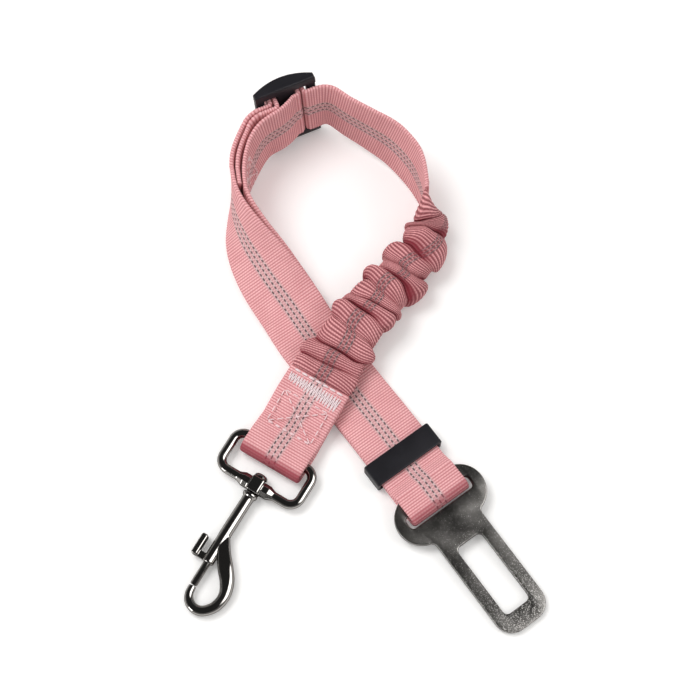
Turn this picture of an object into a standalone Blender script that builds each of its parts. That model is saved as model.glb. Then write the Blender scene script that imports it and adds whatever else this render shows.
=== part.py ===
"""Pet seat-belt tether: webbing strap with a gathered elastic section, a swivel trigger
snap, a seat-belt tongue, a three-bar adjuster and a keeper.

Metres, +Z up, lying on a table at z = 0. The strap is one length of webbing; its runs are
separate solids because each run follows a different piece when the tether is worked.
"""
import math

import bmesh
import bpy
from mathutils import Matrix, Vector

MM = 0.001
UP = Vector((0.0, 0.0, 1.0))

# Clearances
GAP = 0.3 * MM
FINE_GAP = 0.2 * MM

# Webbing
WEB_WIDTH = 25.0 * MM
WEB_THICK = 1.8 * MM
THREAD_RADIUS = 0.35 * MM

# Where the sub-assemblies lie on the table
CENTRE_SHIFT = Vector((-6.88 * MM, 4.43 * MM, 0.0))
TONGUE_FOLD = Vector((34.9 * MM, -63.1 * MM, 0.0))
TONGUE_HEADING = math.radians(-53.7)
HOOK_FOLD = Vector((-28.1 * MM, -47.8 * MM, 0.0))
HOOK_HEADING = math.radians(-121.0)
SLIDE_PLACE = Vector((-22.3 * MM, 89.8 * MM, 0.0))
SLIDE_HEADING = math.radians(23.8)
SLIDE_ROLL = math.radians(98.0)

# Seat-belt tongue
TONGUE_THICK = 2.4 * MM
HEAD_HALF_SPAN = 18.5 * MM
LOBE_RADIUS = 9.8 * MM
TONGUE_BAR = 6.5 * MM
TONGUE_SLOT = 4.9 * MM
SLOT_SIDE_ROOM = 1.5 * MM
TAB_WIDTH = 20.6 * MM
TONGUE_LENGTH = 62.4 * MM
TIP_CORNER = 7.0 * MM
WINDOW_WIDTH = 11.0 * MM
WINDOW_LENGTH = 29.2 * MM
WINDOW_CORNER = 2.0 * MM
TIP_BAR = 7.2 * MM
FOLD_SLACK = 2.6 * MM

# Keeper
KEEPER_WALL = 1.2 * MM
KEEPER_LENGTH = 9.0 * MM
KEEPER_FROM_FOLD = 23.7 * MM
KEEPER_SIDE_ROOM = 0.7 * MM
KEEPER_CORNER = 1.0 * MM
KEEPER_TRAVEL_END = 37.0 * MM
TOUCH_DOWN = 53.0 * MM

# Three-bar adjuster
CENTRE_BAR = 7.0 * MM
END_BAR = 3.6 * MM
BAR_THICK = 3.0 * MM
RAIL_DEPTH = 4.0 * MM
RAIL_END_RISE = 1.0 * MM
RAIL_MID_RISE = 4.4 * MM
RAIL_SIDE_ROOM = 0.5 * MM
WEB_BEND = 1.25 * MM
TAIL_LENGTH = 29.0 * MM
STRAP_FLAT_LENGTH = 68.0 * MM
LEAD_LENGTH = 26.0 * MM

# Swivel trigger snap
EYE_WIRE = 1.75 * MM
EYE_INNER_WIDTH = 29.2 * MM
EYE_DEPTH = 15.0 * MM
EYE_CORNER = 4.0 * MM
EYE_FROM_FOLD = 6.6 * MM
BOSS_WIDTH = 11.0 * MM
BOSS_HEIGHT = 6.8 * MM
BOSS_LENGTH = 6.0 * MM
RIVET_RADIUS = 1.5 * MM
RIVET_HEAD_RADIUS = 2.6 * MM
RIVET_HEAD_LENGTH = 1.6 * MM
COLLAR_RADIUS = 2.9 * MM
COLLAR_LENGTH = 1.6 * MM
BARREL_RADIUS = 2.3 * MM
BARREL_END = 47.8 * MM
BOLT_RADIUS = 1.4 * MM
BOLT_END = 56.9 * MM
BOLT_LENGTH = 21.0 * MM
BOLT_TRAVEL = 8.0 * MM
SPRING_WIRE = 0.2 * MM
SPRING_TURNS = 7
SPRING_ROOM = 12.0 * MM
TRIGGER_NECK = 2.6 * MM
TRIGGER_STEM = 1.6 * MM
TRIGGER_REACH = 7.0 * MM
TRIGGER_PLATE = 2.4 * MM
TRIGGER_HEIGHT = 8.4 * MM
TRIGGER_WIDTH = 4.2 * MM

# Bungee
ELASTIC_WIDTH = 10.0 * MM
ELASTIC_THICK = 1.0 * MM
PUCKERS = 11
PUCKER_DEPTH = 0.17
SLEEVE_WALL = 1.3 * MM
SLEEVE_SIDES = 16

# Hook-end sewing, as distances from the fold
HOOK_FLAT_END = 12.0 * MM
HOOK_RISE_END = 27.0 * MM
HOOK_UNDER_END = 33.0 * MM
HOOK_TOP_END = 36.5 * MM
BOX_NEAR = 15.2 * MM
BOX_FAR = 25.8 * MM
BOX_MARGIN = 3.2 * MM
BARTACK_PLACE = 32.4 * MM
BARTACK_DEPTH = 3.0 * MM
BARTACK_TURNS = 13

# Worked-out sizes
PITCH = WEB_THICK + GAP
HALF_WEB = WEB_WIDTH / 2
STACK = PITCH + WEB_THICK
KEEPER_LIFT = KEEPER_WALL + GAP
SLIDE_HALF_HEIGHT = HALF_WEB + RAIL_SIDE_ROOM + RAIL_DEPTH
LEG_IN = CENTRE_BAR / 2 + GAP + WEB_THICK / 2
LEG_OUT = LEG_IN + PITCH
FACE_1 = BAR_THICK / 2 + GAP + WEB_THICK / 2
FACE_2 = FACE_1 + PITCH
SLOT_END = LEG_OUT + WEB_THICK / 2 + 3 * GAP
SLIDE_HALF_LENGTH = SLOT_END + END_BAR
CROSSING_LIFT = KEEPER_LIFT / 2 + STACK + 2 * GAP

# Route of the doubled strap from the keeper round to the adjuster, chosen by hand from the
# photograph: x and y in millimetres, share of the adjuster's lift, roll in degrees, spread of
# the two layers in pitches.
LOOP_ROUTE = (
    (-12.5, 1.4, 0.0, 0, 1.0),
    (-20.8, 13.9, 0.0, 12, 1.0),
    (-29.2, 26.0, 0.02, 30, 1.1),
    (-36.6, 39.0, 0.1, 54, 1.3),
    (-40.3, 52.0, 0.3, 79, 1.7),
    (-39.3, 65.0, 0.6, 93, 2.3),
    (-35.4, 75.4, 0.85, 97, 2.2),
)
# Route of the single strap from the adjuster to the bungee: x, y, share of the adjuster's
# lift, roll.
RIGHT_ROUTE = (
    (-6.0, 93.0, 0.95, 98),
    (-0.4, 88.8, 0.85, 98),
    (8.8, 83.6, 0.6, 100),
    (17.9, 78.1, 0.3, 104),
    (25.2, 69.7, 0.1, 103),
    (29.0, 61.2, 0.0, 95),
    (30.8, 54.3, 0.0, 88),
)
# Route of the bungee from its top end to the hook end: x, y, share of the crossing's lift,
# roll, half-width as a share of the webbing's, half-thickness in millimetres.
BUNGEE_ROUTE = (
    (30.4, 53.9, 0.0, 88, 1.0, 4.4),
    (30.6, 50.7, 0.0, 86, 0.98, 6.6),
    (31.2, 44.6, 0.0, 64, 0.78, 7.4),
    (28.8, 36.6, 0.0, 30, 0.74, 7.6),
    (22.6, 27.8, 0.0, 8, 0.79, 7.4),
    (15.0, 19.0, 0.3, 0, 0.83, 6.8),
    (8.0, 9.6, 0.95, 0, 0.87, 5.6),
    (1.0, 0.6, 1.02, 0, 0.93, 4.2),
)
BUNGEE_TIP = 8.0 * MM

# Hook arm from the barrel round to the tip, in the snap's frame: distance along the barrel
# and to its side, and half-thickness, all in millimetres from the eye's bar.
HOOK_ARM = (
    (36.5, 0.6, 1.7),
    (41.5, 3.2, 2.4),
    (46.2, 6.8, 2.8),
    (50.0, 9.8, 2.6),
    (54.6, 11.6, 2.2),
    (59.4, 10.9, 2.0),
    (62.8, 8.2, 1.9),
    (63.8, 5.0, 1.8),
    (62.6, 2.0, 1.7),
    (60.2, 0.4, 1.55),
    (57.6, 0.0, 1.4),
)


def clear_scene():
    """Remove every object the new file starts with."""
    for item in list(bpy.data.objects):
        bpy.data.objects.remove(item, do_unlink=True)


def make_material(name, colour, roughness, metallic=0.0):
    """Return a Principled material of one colour."""
    material = bpy.data.materials.new(name)
    material.use_nodes = True
    shader = material.node_tree.nodes["Principled BSDF"]
    shader.inputs["Base Color"].default_value = (*colour, 1.0)
    shader.inputs["Roughness"].default_value = roughness
    shader.inputs["Metallic"].default_value = metallic
    return material


def add_object(name, mesh, material, matrix=None):
    """Link a mesh as a named object and give it its material."""
    mesh.materials.clear()
    mesh.materials.append(material)
    item = bpy.data.objects.new(name, mesh)
    if matrix is not None:
        item.matrix_world = matrix
    bpy.context.scene.collection.objects.link(item)
    return item


def mesh_from(bm, name):
    """Close a bmesh into a mesh whose faces point out."""
    bmesh.ops.recalc_face_normals(bm, faces=bm.faces)
    mesh = bpy.data.meshes.new(name)
    bm.to_mesh(mesh)
    bm.free()
    return mesh


def loft(rings, cyclic=False):
    """Skin closed rings of points and cap the two ends."""
    bm = bmesh.new()
    rows = [[bm.verts.new(point) for point in ring] for ring in rings]
    count = len(rows[0])
    pairs = list(zip(rows, rows[1:]))
    if cyclic:
        pairs.append((rows[-1], rows[0]))
    for low, high in pairs:
        for i in range(count):
            j = (i + 1) % count
            bm.faces.new((low[i], low[j], high[j], high[i]))
    if not cyclic:
        bm.faces.new(list(reversed(rows[0])))
        bm.faces.new(rows[-1])
    return bm


def box(low, high):
    """Return a bmesh block between two corners."""
    bm = bmesh.new()
    bmesh.ops.create_cube(bm, size=1.0)
    middle = [(a + b) / 2 for a, b in zip(low, high)]
    size = [b - a for a, b in zip(low, high)]
    bmesh.ops.scale(bm, vec=size, verts=bm.verts)
    bmesh.ops.translate(bm, vec=middle, verts=bm.verts)
    return bm


def cylinder(start, end, radius, sides=24, side=0.0):
    """Return a cylinder along the local X axis, set to one side of it."""
    rings = []
    for along in (start, end):
        ring = []
        for i in range(sides):
            turn = 2 * math.pi * i / sides
            ring.append(Vector((along, side + radius * math.cos(turn), radius * math.sin(turn))))
        rings.append(ring)
    return loft(rings)


def catmull(points, steps):
    """Smooth curve of tuples through the given tuples."""
    ends = [points[0], *points, points[-1]]
    curve = []
    for p0, p1, p2, p3 in zip(ends, ends[1:], ends[2:], ends[3:]):
        for k in range(steps):
            t = k / steps
            curve.append(tuple(
                0.5 * (2 * b + (c - a) * t + (2 * a - 5 * b + 4 * c - d) * t * t
                       + (3 * b - a - 3 * c + d) * t ** 3)
                for a, b, c, d in zip(p0, p1, p2, p3)))
    curve.append(tuple(points[-1]))
    return curve


def fillet(points, radius, steps=4):
    """Round the corners of a polyline of 2-D points."""
    path = [Vector(points[0])]
    for before, corner, after in zip(points, points[1:], points[2:]):
        corner = Vector(corner)
        a = (Vector(before) - corner).normalized()
        b = (Vector(after) - corner).normalized()
        half = a.angle(b) / 2
        if half > math.radians(88):
            path.append(corner)
            continue
        reach = radius / math.tan(half)
        centre = corner + (a + b).normalized() * radius / math.sin(half)
        start = corner + a * reach - centre
        sweep = math.pi - 2 * half
        sign = 1.0 if a.cross(b) < 0 else -1.0
        for k in range(steps + 1):
            turn = Matrix.Rotation(sign * sweep * k / steps, 2)
            path.append(centre + turn @ start)
    path.append(Vector(points[-1]))
    return path


class Station:
    """A point on the webbing with its width direction and its face normal."""

    def __init__(self, point, across, normal, spread=0.0):
        self.point = point
        self.across = across
        self.normal = normal
        self.spread = spread

    def layer(self, pitches):
        """Return this station moved off the middle by a number of half spreads."""
        shift = self.normal * (pitches * self.spread * PITCH / 2)
        return Station(self.point + shift, self.across, self.normal, self.spread)


def stations_along(points, rolls, spreads=None):
    """Stations on a curve: the strap's right-hand edge rises as its roll grows."""
    stations = []
    last = len(points) - 1
    for i, point in enumerate(points):
        tangent = (points[min(i + 1, last)] - points[max(i - 1, 0)]).normalized()
        right = tangent.cross(UP).normalized()
        across = right * math.cos(rolls[i]) + UP * math.sin(rolls[i])
        across = (across - tangent * across.dot(tangent)).normalized()
        spread = spreads[i] if spreads else 0.0
        stations.append(Station(point, across, across.cross(tangent), spread))
    return stations


def stations_in_plane(path, place, along, up, across):
    """Stations on a 2-D path in a plane square to the strap's width."""
    stations = []
    last = len(path) - 1
    for i, flat in enumerate(path):
        step = path[min(i + 1, last)] - path[max(i - 1, 0)]
        tangent = (along * step.x + up * step.y).normalized()
        point = place + along * flat.x + up * flat.y
        stations.append(Station(point, across, across.cross(tangent)))
    return stations


def between(stations, start, end):
    """Cut a run out of stations, by distance from the first one."""
    run = []
    travelled = 0.0
    for a, b in zip(stations, stations[1:]):
        step = (b.point - a.point).length
        for mark in (start, end):
            if travelled <= mark < travelled + step:
                share = (mark - travelled) / step
                run.append(Station(a.point.lerp(b.point, share),
                                   a.across.lerp(b.across, share).normalized(),
                                   a.normal.lerp(b.normal, share).normalized(),
                                   a.spread + (b.spread - a.spread) * share))
        travelled += step
        if start < travelled < end:
            run.append(b)
    return run


def length_of(stations):
    """Return the length of a run."""
    return sum((b.point - a.point).length for a, b in zip(stations, stations[1:]))


def strip(stations, width=WEB_WIDTH, thick=WEB_THICK):
    """Return a bmesh of a flat strip along its stations."""
    rings = []
    for s in stations:
        side = s.across * (width / 2)
        face = s.normal * (thick / 2)
        rings.append([s.point - side - face, s.point + side - face,
                      s.point + side + face, s.point - side + face])
    return loft(rings)


def shifted(point):
    """Move a point from the table's datum to the part's origin."""
    return Vector(point) + CENTRE_SHIFT


def heading(angle):
    """Return the unit vector on the table at an angle."""
    return Vector((math.cos(angle), math.sin(angle), 0.0))


def line_frame(place, angle, height=0.0, pitch=0.0):
    """Matrix of a frame on the table whose X axis runs along a heading."""
    lift = Matrix.Translation(shifted(place) + UP * height)
    return lift @ Matrix.Rotation(angle, 4, "Z") @ Matrix.Rotation(pitch, 4, "Y")


def slide_axes():
    """Return the adjuster's centre and its along, outward and across directions."""
    along = heading(SLIDE_HEADING)
    right = along.cross(UP)
    across = right * math.cos(SLIDE_ROLL) + UP * math.sin(SLIDE_ROLL)
    outward = across.cross(along)
    tilt_room = RAIL_MID_RISE * abs(math.cos(SLIDE_ROLL))
    centre = shifted(SLIDE_PLACE) + UP * (SLIDE_HALF_HEIGHT * math.sin(SLIDE_ROLL) + tilt_room)
    return centre, along, outward, across


def boolean(item, cutter_bm, operation="DIFFERENCE"):
    """Apply an exact Boolean with a throw-away cutter in the item's own frame."""
    cutter = bpy.data.objects.new("cutter", mesh_from(cutter_bm, "cutter"))
    cutter.matrix_world = item.matrix_world
    bpy.context.scene.collection.objects.link(cutter)
    modifier = item.modifiers.new("cut", "BOOLEAN")
    modifier.operation = operation
    modifier.solver = "EXACT"
    modifier.object = cutter
    depsgraph = bpy.context.evaluated_depsgraph_get()
    result = bpy.data.meshes.new_from_object(item.evaluated_get(depsgraph))
    item.modifiers.remove(modifier)
    item.data = result
    bpy.data.objects.remove(cutter, do_unlink=True)


def plate(outline, low, high, plane="XY"):
    """Return a prism of a 2-D outline between two heights, across XY or XZ."""
    rings = []
    for height in (low, high):
        if plane == "XY":
            rings.append([Vector((p[0], p[1], height)) for p in outline])
        else:
            rings.append([Vector((p[0], height, p[1])) for p in outline])
    return loft(rings)


def rounded_rectangle(x0, y0, x1, y1, radius, steps=4):
    """Outline of a rectangle with round corners, anticlockwise."""
    outline = []
    corners = ((x1 - radius, y1 - radius, 0), (x0 + radius, y1 - radius, 90),
               (x0 + radius, y0 + radius, 180), (x1 - radius, y0 + radius, 270))
    for cx, cy, start in corners:
        for k in range(steps + 1):
            turn = math.radians(start + 90 * k / steps)
            outline.append((cx + radius * math.cos(turn), cy + radius * math.sin(turn)))
    return outline


def tongue_sizes():
    """Return the tongue's lengthwise places, measured from the strap fold's end."""
    slot_start = -(WEB_THICK + FOLD_SLACK)
    head_top = slot_start - TONGUE_BAR
    return slot_start, head_top, head_top + TONGUE_LENGTH


def tongue_pivot():
    """Return the bar's middle along the fold line and its height."""
    slot_start = tongue_sizes()[0]
    return slot_start - TONGUE_BAR / 2, KEEPER_LIFT + PITCH + TONGUE_THICK / 2


def tongue_outline(head_top, tip):
    """Outline of the stamped plate: round-lobed head, straight tab, crowned tip."""
    half_tab = TAB_WIDTH / 2
    centre_y = HEAD_HALF_SPAN - LOBE_RADIUS
    centre_x = head_top + LOBE_RADIUS
    meet = math.acos(min(1.0, max(-1.0, (half_tab - centre_y) / LOBE_RADIUS)))
    lobe = []
    for k in range(13):
        turn = math.pi / 2 - meet + (math.pi / 2 + meet) * k / 12
        lobe.append((centre_x + LOBE_RADIUS * math.cos(turn), centre_y + LOBE_RADIUS * math.sin(turn)))
    tip_round = []
    for k in range(7):
        turn = math.pi / 2 * k / 6
        tip_round.append((tip - TIP_CORNER + TIP_CORNER * math.cos(turn),
                          half_tab - TIP_CORNER + TIP_CORNER * math.sin(turn)))
    side = tip_round + lobe
    return side + [(x, -y) for x, y in reversed(side)]


def make_tongue(material):
    """Stamped steel tongue, hung on the strap by the bar above its slot."""
    slot_start, head_top, tip = tongue_sizes()
    pivot, height = tongue_pivot()
    pitch = math.asin((height - TONGUE_THICK / 2) / (tip - pivot))
    place = TONGUE_FOLD + heading(TONGUE_HEADING) * pivot
    frame = line_frame(place, TONGUE_HEADING, height, pitch)
    half = TONGUE_THICK / 2
    outline = [(x - pivot, y) for x, y in tongue_outline(head_top, tip)]
    tongue = add_object("seat_belt_tongue", mesh_from(plate(outline, -half, half), "seat_belt_tongue"),
                        material, frame)
    slot_half = HALF_WEB + SLOT_SIDE_ROOM
    slot = rounded_rectangle(slot_start - pivot, -slot_half, slot_start + TONGUE_SLOT - pivot, slot_half,
                             TONGUE_SLOT / 3)
    window_end = tip - TIP_BAR - pivot
    window = rounded_rectangle(window_end - WINDOW_LENGTH, -WINDOW_WIDTH / 2, window_end, WINDOW_WIDTH / 2,
                               WINDOW_CORNER)
    for opening in (slot, window):
        boolean(tongue, plate(opening, -TONGUE_THICK, TONGUE_THICK))


def make_tongue_fold(material, start):
    """Webbing turned round the tongue's bar, open enough for the bar to swing in."""
    low = KEEPER_LIFT + WEB_THICK / 2
    high = KEEPER_LIFT + PITCH + TONGUE_THICK + GAP + WEB_THICK / 2
    near = KEEPER_LIFT + PITCH + WEB_THICK / 2
    round_radius = (high - low) / 2 - 0.01 * MM
    head_top = tongue_sizes()[1]
    turned = [(start, low), (-WEB_THICK / 2, low), (-WEB_THICK / 2, high), (head_top / 2, high)]
    back = [(head_top / 2, high), (head_top - GAP, high), (start + WEB_THICK / 2, near), (start, near)]
    path = fillet(turned, round_radius, 8)[:-1] + fillet(back, WEB_THICK)[1:]
    along = heading(TONGUE_HEADING)
    across = along.cross(UP)
    stations = stations_in_plane(path, shifted(TONGUE_FOLD), along, UP, across)
    add_object("tongue_fold", mesh_from(strip(stations), "tongue_fold"), material)


def make_keeper(material):
    """Moulded loop that holds the two layers together above the tongue."""
    inner_half = HALF_WEB + KEEPER_SIDE_ROOM
    outer_half = inner_half + KEEPER_WALL
    top = KEEPER_LIFT + STACK + GAP
    frame = line_frame(TONGUE_FOLD - heading(TONGUE_HEADING) * KEEPER_FROM_FOLD, TONGUE_HEADING)
    half = KEEPER_LENGTH / 2
    outer = box((-half, -outer_half, 0.0), (half, outer_half, top + KEEPER_WALL))
    edges = []
    for edge in outer.edges:
        a, b = (v.co for v in edge.verts)
        if a.y == b.y and a.z == b.z:
            edges.append(edge)
    bmesh.ops.bevel(outer, geom=edges, offset=KEEPER_CORNER, segments=3, affect="EDGES", profile=0.5)
    keeper = add_object("keeper_loop", mesh_from(outer, "keeper_loop"), material, frame)
    boolean(keeper, box((-KEEPER_LENGTH, -inner_half, KEEPER_WALL), (KEEPER_LENGTH, inner_half, top)))


def make_slide(material):
    """Three-bar adjuster with arched side rails."""
    centre, along, outward, across = slide_axes()
    frame = Matrix((along, outward, across)).transposed().to_4x4()
    frame.translation = centre
    back = -BAR_THICK / 2
    outline = [(-SLIDE_HALF_LENGTH, back), (SLIDE_HALF_LENGTH, back)]
    rise = RAIL_MID_RISE - RAIL_END_RISE
    for k in range(11):
        share = 1 - k / 5
        outline.append((SLIDE_HALF_LENGTH * share, RAIL_END_RISE + rise * (1 - share * share)))
    block = plate(outline, -SLIDE_HALF_HEIGHT, SLIDE_HALF_HEIGHT)
    slide = add_object("tri_glide", mesh_from(block, "tri_glide"), material, frame)
    room = HALF_WEB + RAIL_SIDE_ROOM
    far = RAIL_MID_RISE * 2
    boolean(slide, box((-2 * SLIDE_HALF_LENGTH, BAR_THICK / 2, -room), (2 * SLIDE_HALF_LENGTH, far, room)))
    for low, high in ((-SLOT_END, -CENTRE_BAR / 2), (CENTRE_BAR / 2, SLOT_END)):
        boolean(slide, box((low, -far, -room), (high, far, room)))


def loop_stations():
    """Stations midway between the two layers, from the tongue fold to the adjuster."""
    line = heading(TONGUE_HEADING)
    start = fold_start()
    points = []
    for back, lift in ((start, 1), (-KEEPER_FROM_FOLD, 1), (-KEEPER_TRAVEL_END, 1), (-TOUCH_DOWN, 0)):
        place = shifted(TONGUE_FOLD + line * back)
        points.append((place.x, place.y, lift * KEEPER_LIFT, 0.0, 1.0))
    centre, along, outward, across = slide_axes()
    ends = [centre + along * a - outward * FACE_2 for a in (-SLIDE_HALF_LENGTH, 0.0)]
    slide_lift = ends[0].z - pair_height(SLIDE_ROLL, 2.0)
    for x, y, lift, roll, spread in LOOP_ROUTE:
        place = shifted((x * MM, y * MM, 0.0))
        points.append((place.x, place.y, lift * slide_lift, math.radians(roll), spread))
    for place in ends:
        points.append((place.x, place.y, slide_lift, SLIDE_ROLL, 2.0))
    samples = catmull(points, 8)
    middles = [Vector((x, y, max(0.0, lift) + pair_height(roll, spread)))
               for x, y, lift, roll, spread in samples]
    stations = stations_along(middles, [s[3] for s in samples], [s[4] for s in samples])
    return stations[:-8]


def pair_height(roll, spread):
    """Height of a pair's middle above its lowest edge."""
    return HALF_WEB * abs(math.sin(roll)) + (spread * PITCH + WEB_THICK) / 2 * abs(math.cos(roll))


def fold_start():
    """Where the straight layers give way to the tongue fold."""
    return tongue_sizes()[1] - 3 * WEB_THICK


def make_loop(material, flat_cut):
    """Under and top layers: straight runs, and the turns that give when the adjuster moves."""
    loop = loop_stations()
    total = length_of(loop)
    seam = total - TAIL_LENGTH
    for name, side, start, end in (
            ("under_run", -1, GAP, flat_cut),
            ("under_turn", -1, flat_cut + GAP, seam - 3 * GAP),
            ("top_run", 1, GAP, flat_cut),
            ("top_turn", 1, flat_cut + GAP, total - 3 * GAP)):
        run = [s.layer(side) for s in between(loop, start, end)]
        add_object(name, mesh_from(strip(run), name), material)
    return loop, seam, total


def make_sewn_loop(material, loop, seam, total):
    """Webbing sewn round the adjuster's centre bar, with its tail laid between the layers."""
    centre, along, outward, across = slide_axes()
    half = SLIDE_HALF_LENGTH
    deep = FACE_2 + PITCH
    corners = [(-half, -deep), (-LEG_IN + WEB_THICK / 2, -deep), (LEG_IN - 2 * WEB_BEND, -FACE_1),
               (LEG_IN, -FACE_1), (LEG_IN, FACE_1), (-LEG_IN, FACE_1), (-LEG_IN, -FACE_2), (-half, -FACE_2)]
    path = fillet(corners, WEB_BEND)
    wrap = stations_in_plane(path, centre, along, outward, -across)
    for s in wrap:
        s.across = -s.across
        s.normal = -s.normal
    lead = [s.layer(-1) for s in between(loop, seam, total - GAP)]
    tail = [s.layer(0) for s in between(loop, seam + WEB_THICK, total - GAP)]
    for s in tail:
        s.normal = -s.normal
    run = lead + wrap + list(reversed(tail))
    add_object("sewn_loop", mesh_from(strip_by_path(run), "sewn_loop"), material)


def strip_by_path(stations, width=WEB_WIDTH, thick=WEB_THICK):
    """Strip whose face normal is worked out from the path itself, for tight turns."""
    last = len(stations) - 1
    turned = []
    for i, s in enumerate(stations):
        tangent = (stations[min(i + 1, last)].point - stations[max(i - 1, 0)].point).normalized()
        across = (s.across - tangent * s.across.dot(tangent)).normalized()
        turned.append(Station(s.point, across, across.cross(tangent)))
    return strip(turned, width, thick)


def make_slide_pass(material):
    """Strap that runs out of one slot, over the sewn loop and in at the other slot."""
    centre, along, outward, across = slide_axes()
    half = SLIDE_HALF_LENGTH
    corners = [(-half, -FACE_1), (-LEG_OUT, -FACE_1), (-LEG_OUT, FACE_2), (LEG_OUT, FACE_2),
               (LEG_OUT, -FACE_1), (half, -FACE_1)]
    stations = stations_in_plane(fillet(corners, WEB_BEND), centre, along, outward, across)
    add_object("slide_pass", mesh_from(strip(stations), "slide_pass"), material)


def right_stations():
    """Stations of the single strap from the adjuster to the bungee."""
    centre, along, outward, across = slide_axes()
    points = []
    for a in (0.0, SLIDE_HALF_LENGTH):
        place = centre + along * a - outward * FACE_1
        points.append((place.x, place.y, 1.0, SLIDE_ROLL))
    for x, y, lift, roll in RIGHT_ROUTE:
        place = shifted((x * MM, y * MM, 0.0))
        points.append((place.x, place.y, lift, math.radians(roll)))
    samples = catmull(points, 8)
    start = centre + along * SLIDE_HALF_LENGTH - outward * FACE_1
    lift_full = start.z - pair_height(SLIDE_ROLL, 0.0)
    middles = [Vector((x, y, max(0.0, lift) * lift_full + pair_height(roll, 0.0)))
               for x, y, lift, roll in samples]
    return stations_along(middles, [s[3] for s in samples])[8:]


def make_right_run(material, lead_length):
    """Single strap: a lead that gives beside the adjuster, then the run to the bungee."""
    stations = right_stations()
    total = length_of(stations)
    runs = (("right_lead", 3 * GAP, lead_length), ("right_run", lead_length + GAP, total - GAP))
    for name, start, end in runs:
        add_object(name, mesh_from(strip(between(stations, start, end)), name), material)
    return between(stations, 0.0, total - GAP)


def hook_profile():
    """Middle line of the hook-end webbing: under layer, fold round the eye's bar, top layer."""
    low = WEB_THICK / 2
    radius = EYE_WIRE + GAP + WEB_THICK / 2
    high = low + 2 * radius
    raised = CROSSING_LIFT + WEB_THICK / 2
    turn = -WEB_THICK / 2
    under = [(-HOOK_UNDER_END, raised + GAP), (-HOOK_RISE_END, raised), (-HOOK_FLAT_END, low), (turn, low)]
    shoulder = -EYE_FROM_FOLD - EYE_WIRE - 2 * GAP
    dip = shoulder - 2 * WEB_THICK
    slope = (raised - low) / (HOOK_RISE_END - HOOK_FLAT_END)
    dip_height = low + PITCH + slope * max(0.0, -dip - HOOK_FLAT_END)
    top = [(turn, high), (shoulder, high), (dip, dip_height), (-HOOK_RISE_END, raised + PITCH),
           (-HOOK_TOP_END, raised + PITCH + GAP)]
    return under, top, radius


def hook_top_height(back):
    """Height of the top layer's middle at a distance behind the fold."""
    top = hook_profile()[1]
    for (x0, z0), (x1, z1) in zip(top, top[1:]):
        if x1 <= -back <= x0 and x0 != x1:
            return z0 + (z1 - z0) * (-back - x0) / (x1 - x0)
    return top[-1][1]


def make_hook_loop(material):
    """Webbing folded round the eye's bar and sewn to itself."""
    under, top, radius = hook_profile()
    flat = fillet(under[:3] + [under[3]], 3 * WEB_THICK)
    turned = fillet([under[2], under[3], top[0], top[1]], radius - 0.01 * MM, 8)[1:-1]
    back = fillet(top, 2 * WEB_THICK)
    path = flat[:-1] + turned + back[1:]
    along = heading(HOOK_HEADING)
    stations = stations_in_plane(path, shifted(HOOK_FOLD), along, UP, along.cross(UP))
    add_object("hook_loop", mesh_from(strip_by_path(stations), "hook_loop"), material)


def thread(name, points, material):
    """One unbroken sewing thread through the given points."""
    curve = bpy.data.curves.new(name, "CURVE")
    curve.dimensions = "3D"
    curve.bevel_depth = THREAD_RADIUS
    curve.bevel_resolution = 0
    curve.use_fill_caps = True
    spline = curve.splines.new("POLY")
    spline.points.add(len(points) - 1)
    for target, point in zip(spline.points, points):
        target.co = (*point, 1.0)
    curve.materials.append(material)
    item = bpy.data.objects.new(name, curve)
    bpy.context.scene.collection.objects.link(item)


def box_and_cross(near, far, half, steps):
    """Path of a box stitch with a cross in it, as along, across and height in threads."""
    inset = 5 * THREAD_RADIUS
    slant = inset * 2
    corners = [(near, -half, 0), (near, half, 0), (far, half, 0), (far, -half, 0), (near + inset, -half, 0),
               (near + inset, -half + slant, 0), (far - inset, half - slant, 0),
               (far - inset, -half + slant, 0), (far - slant, -half + slant, 2.6),
               (near + slant, half - slant, 2.6)]
    path = []
    for a, b in zip(corners, corners[1:]):
        for k in range(steps):
            share = k / steps
            path.append(tuple(p + (q - p) * share for p, q in zip(a, b)))
    path.append(corners[-1])
    return path


def make_hook_sewing(material):
    """Box stitch and dense zigzag that close the hook-end loop."""
    along = heading(HOOK_HEADING)
    across = along.cross(UP)
    raise_by = WEB_THICK / 2 + FINE_GAP + THREAD_RADIUS
    slope = math.atan2(hook_top_height(BOX_FAR) - hook_top_height(BOX_NEAR), BOX_FAR - BOX_NEAR)
    normal = UP * math.cos(slope) + along * math.sin(slope)

    def on_top(back, side, height, face):
        middle = shifted(HOOK_FOLD) - along * back + UP * hook_top_height(back)
        return middle + across * side + face * (raise_by + height * THREAD_RADIUS)

    half = HALF_WEB - BOX_MARGIN
    points = [on_top(b, s, h, normal) for b, s, h in box_and_cross(BOX_NEAR, BOX_FAR, half, 1)]
    thread("hook_box_stitch", points, material)
    zigzag = []
    for k in range(2 * BARTACK_TURNS + 1):
        side = -half + 2 * half * k / (2 * BARTACK_TURNS)
        back = BARTACK_PLACE + BARTACK_DEPTH * (0.5 if k % 2 else -0.5)
        zigzag.append(on_top(back, side, 0.5, UP))
    thread("hook_bartack", zigzag, material)


def make_tail_sewing(material, loop, seam, total):
    """Box stitch that holds the tail, on the face turned to the inside of the loop."""
    run = between(loop, seam, total)
    length = length_of(run)

    def on_inside(along, side, height):
        mark = max(0.0, min(length - GAP, along))
        spot = between(run, mark, mark + length)[0].layer(-1)
        return spot.point + spot.across * side - spot.normal * (
            WEB_THICK / 2 + FINE_GAP + THREAD_RADIUS * (1.6 + height))

    near, far = 2 * BOX_MARGIN, length / 2
    path = box_and_cross(near, far, HALF_WEB - BOX_MARGIN, 6)
    thread("tail_box_stitch", [on_inside(*p) for p in path], material)


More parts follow.
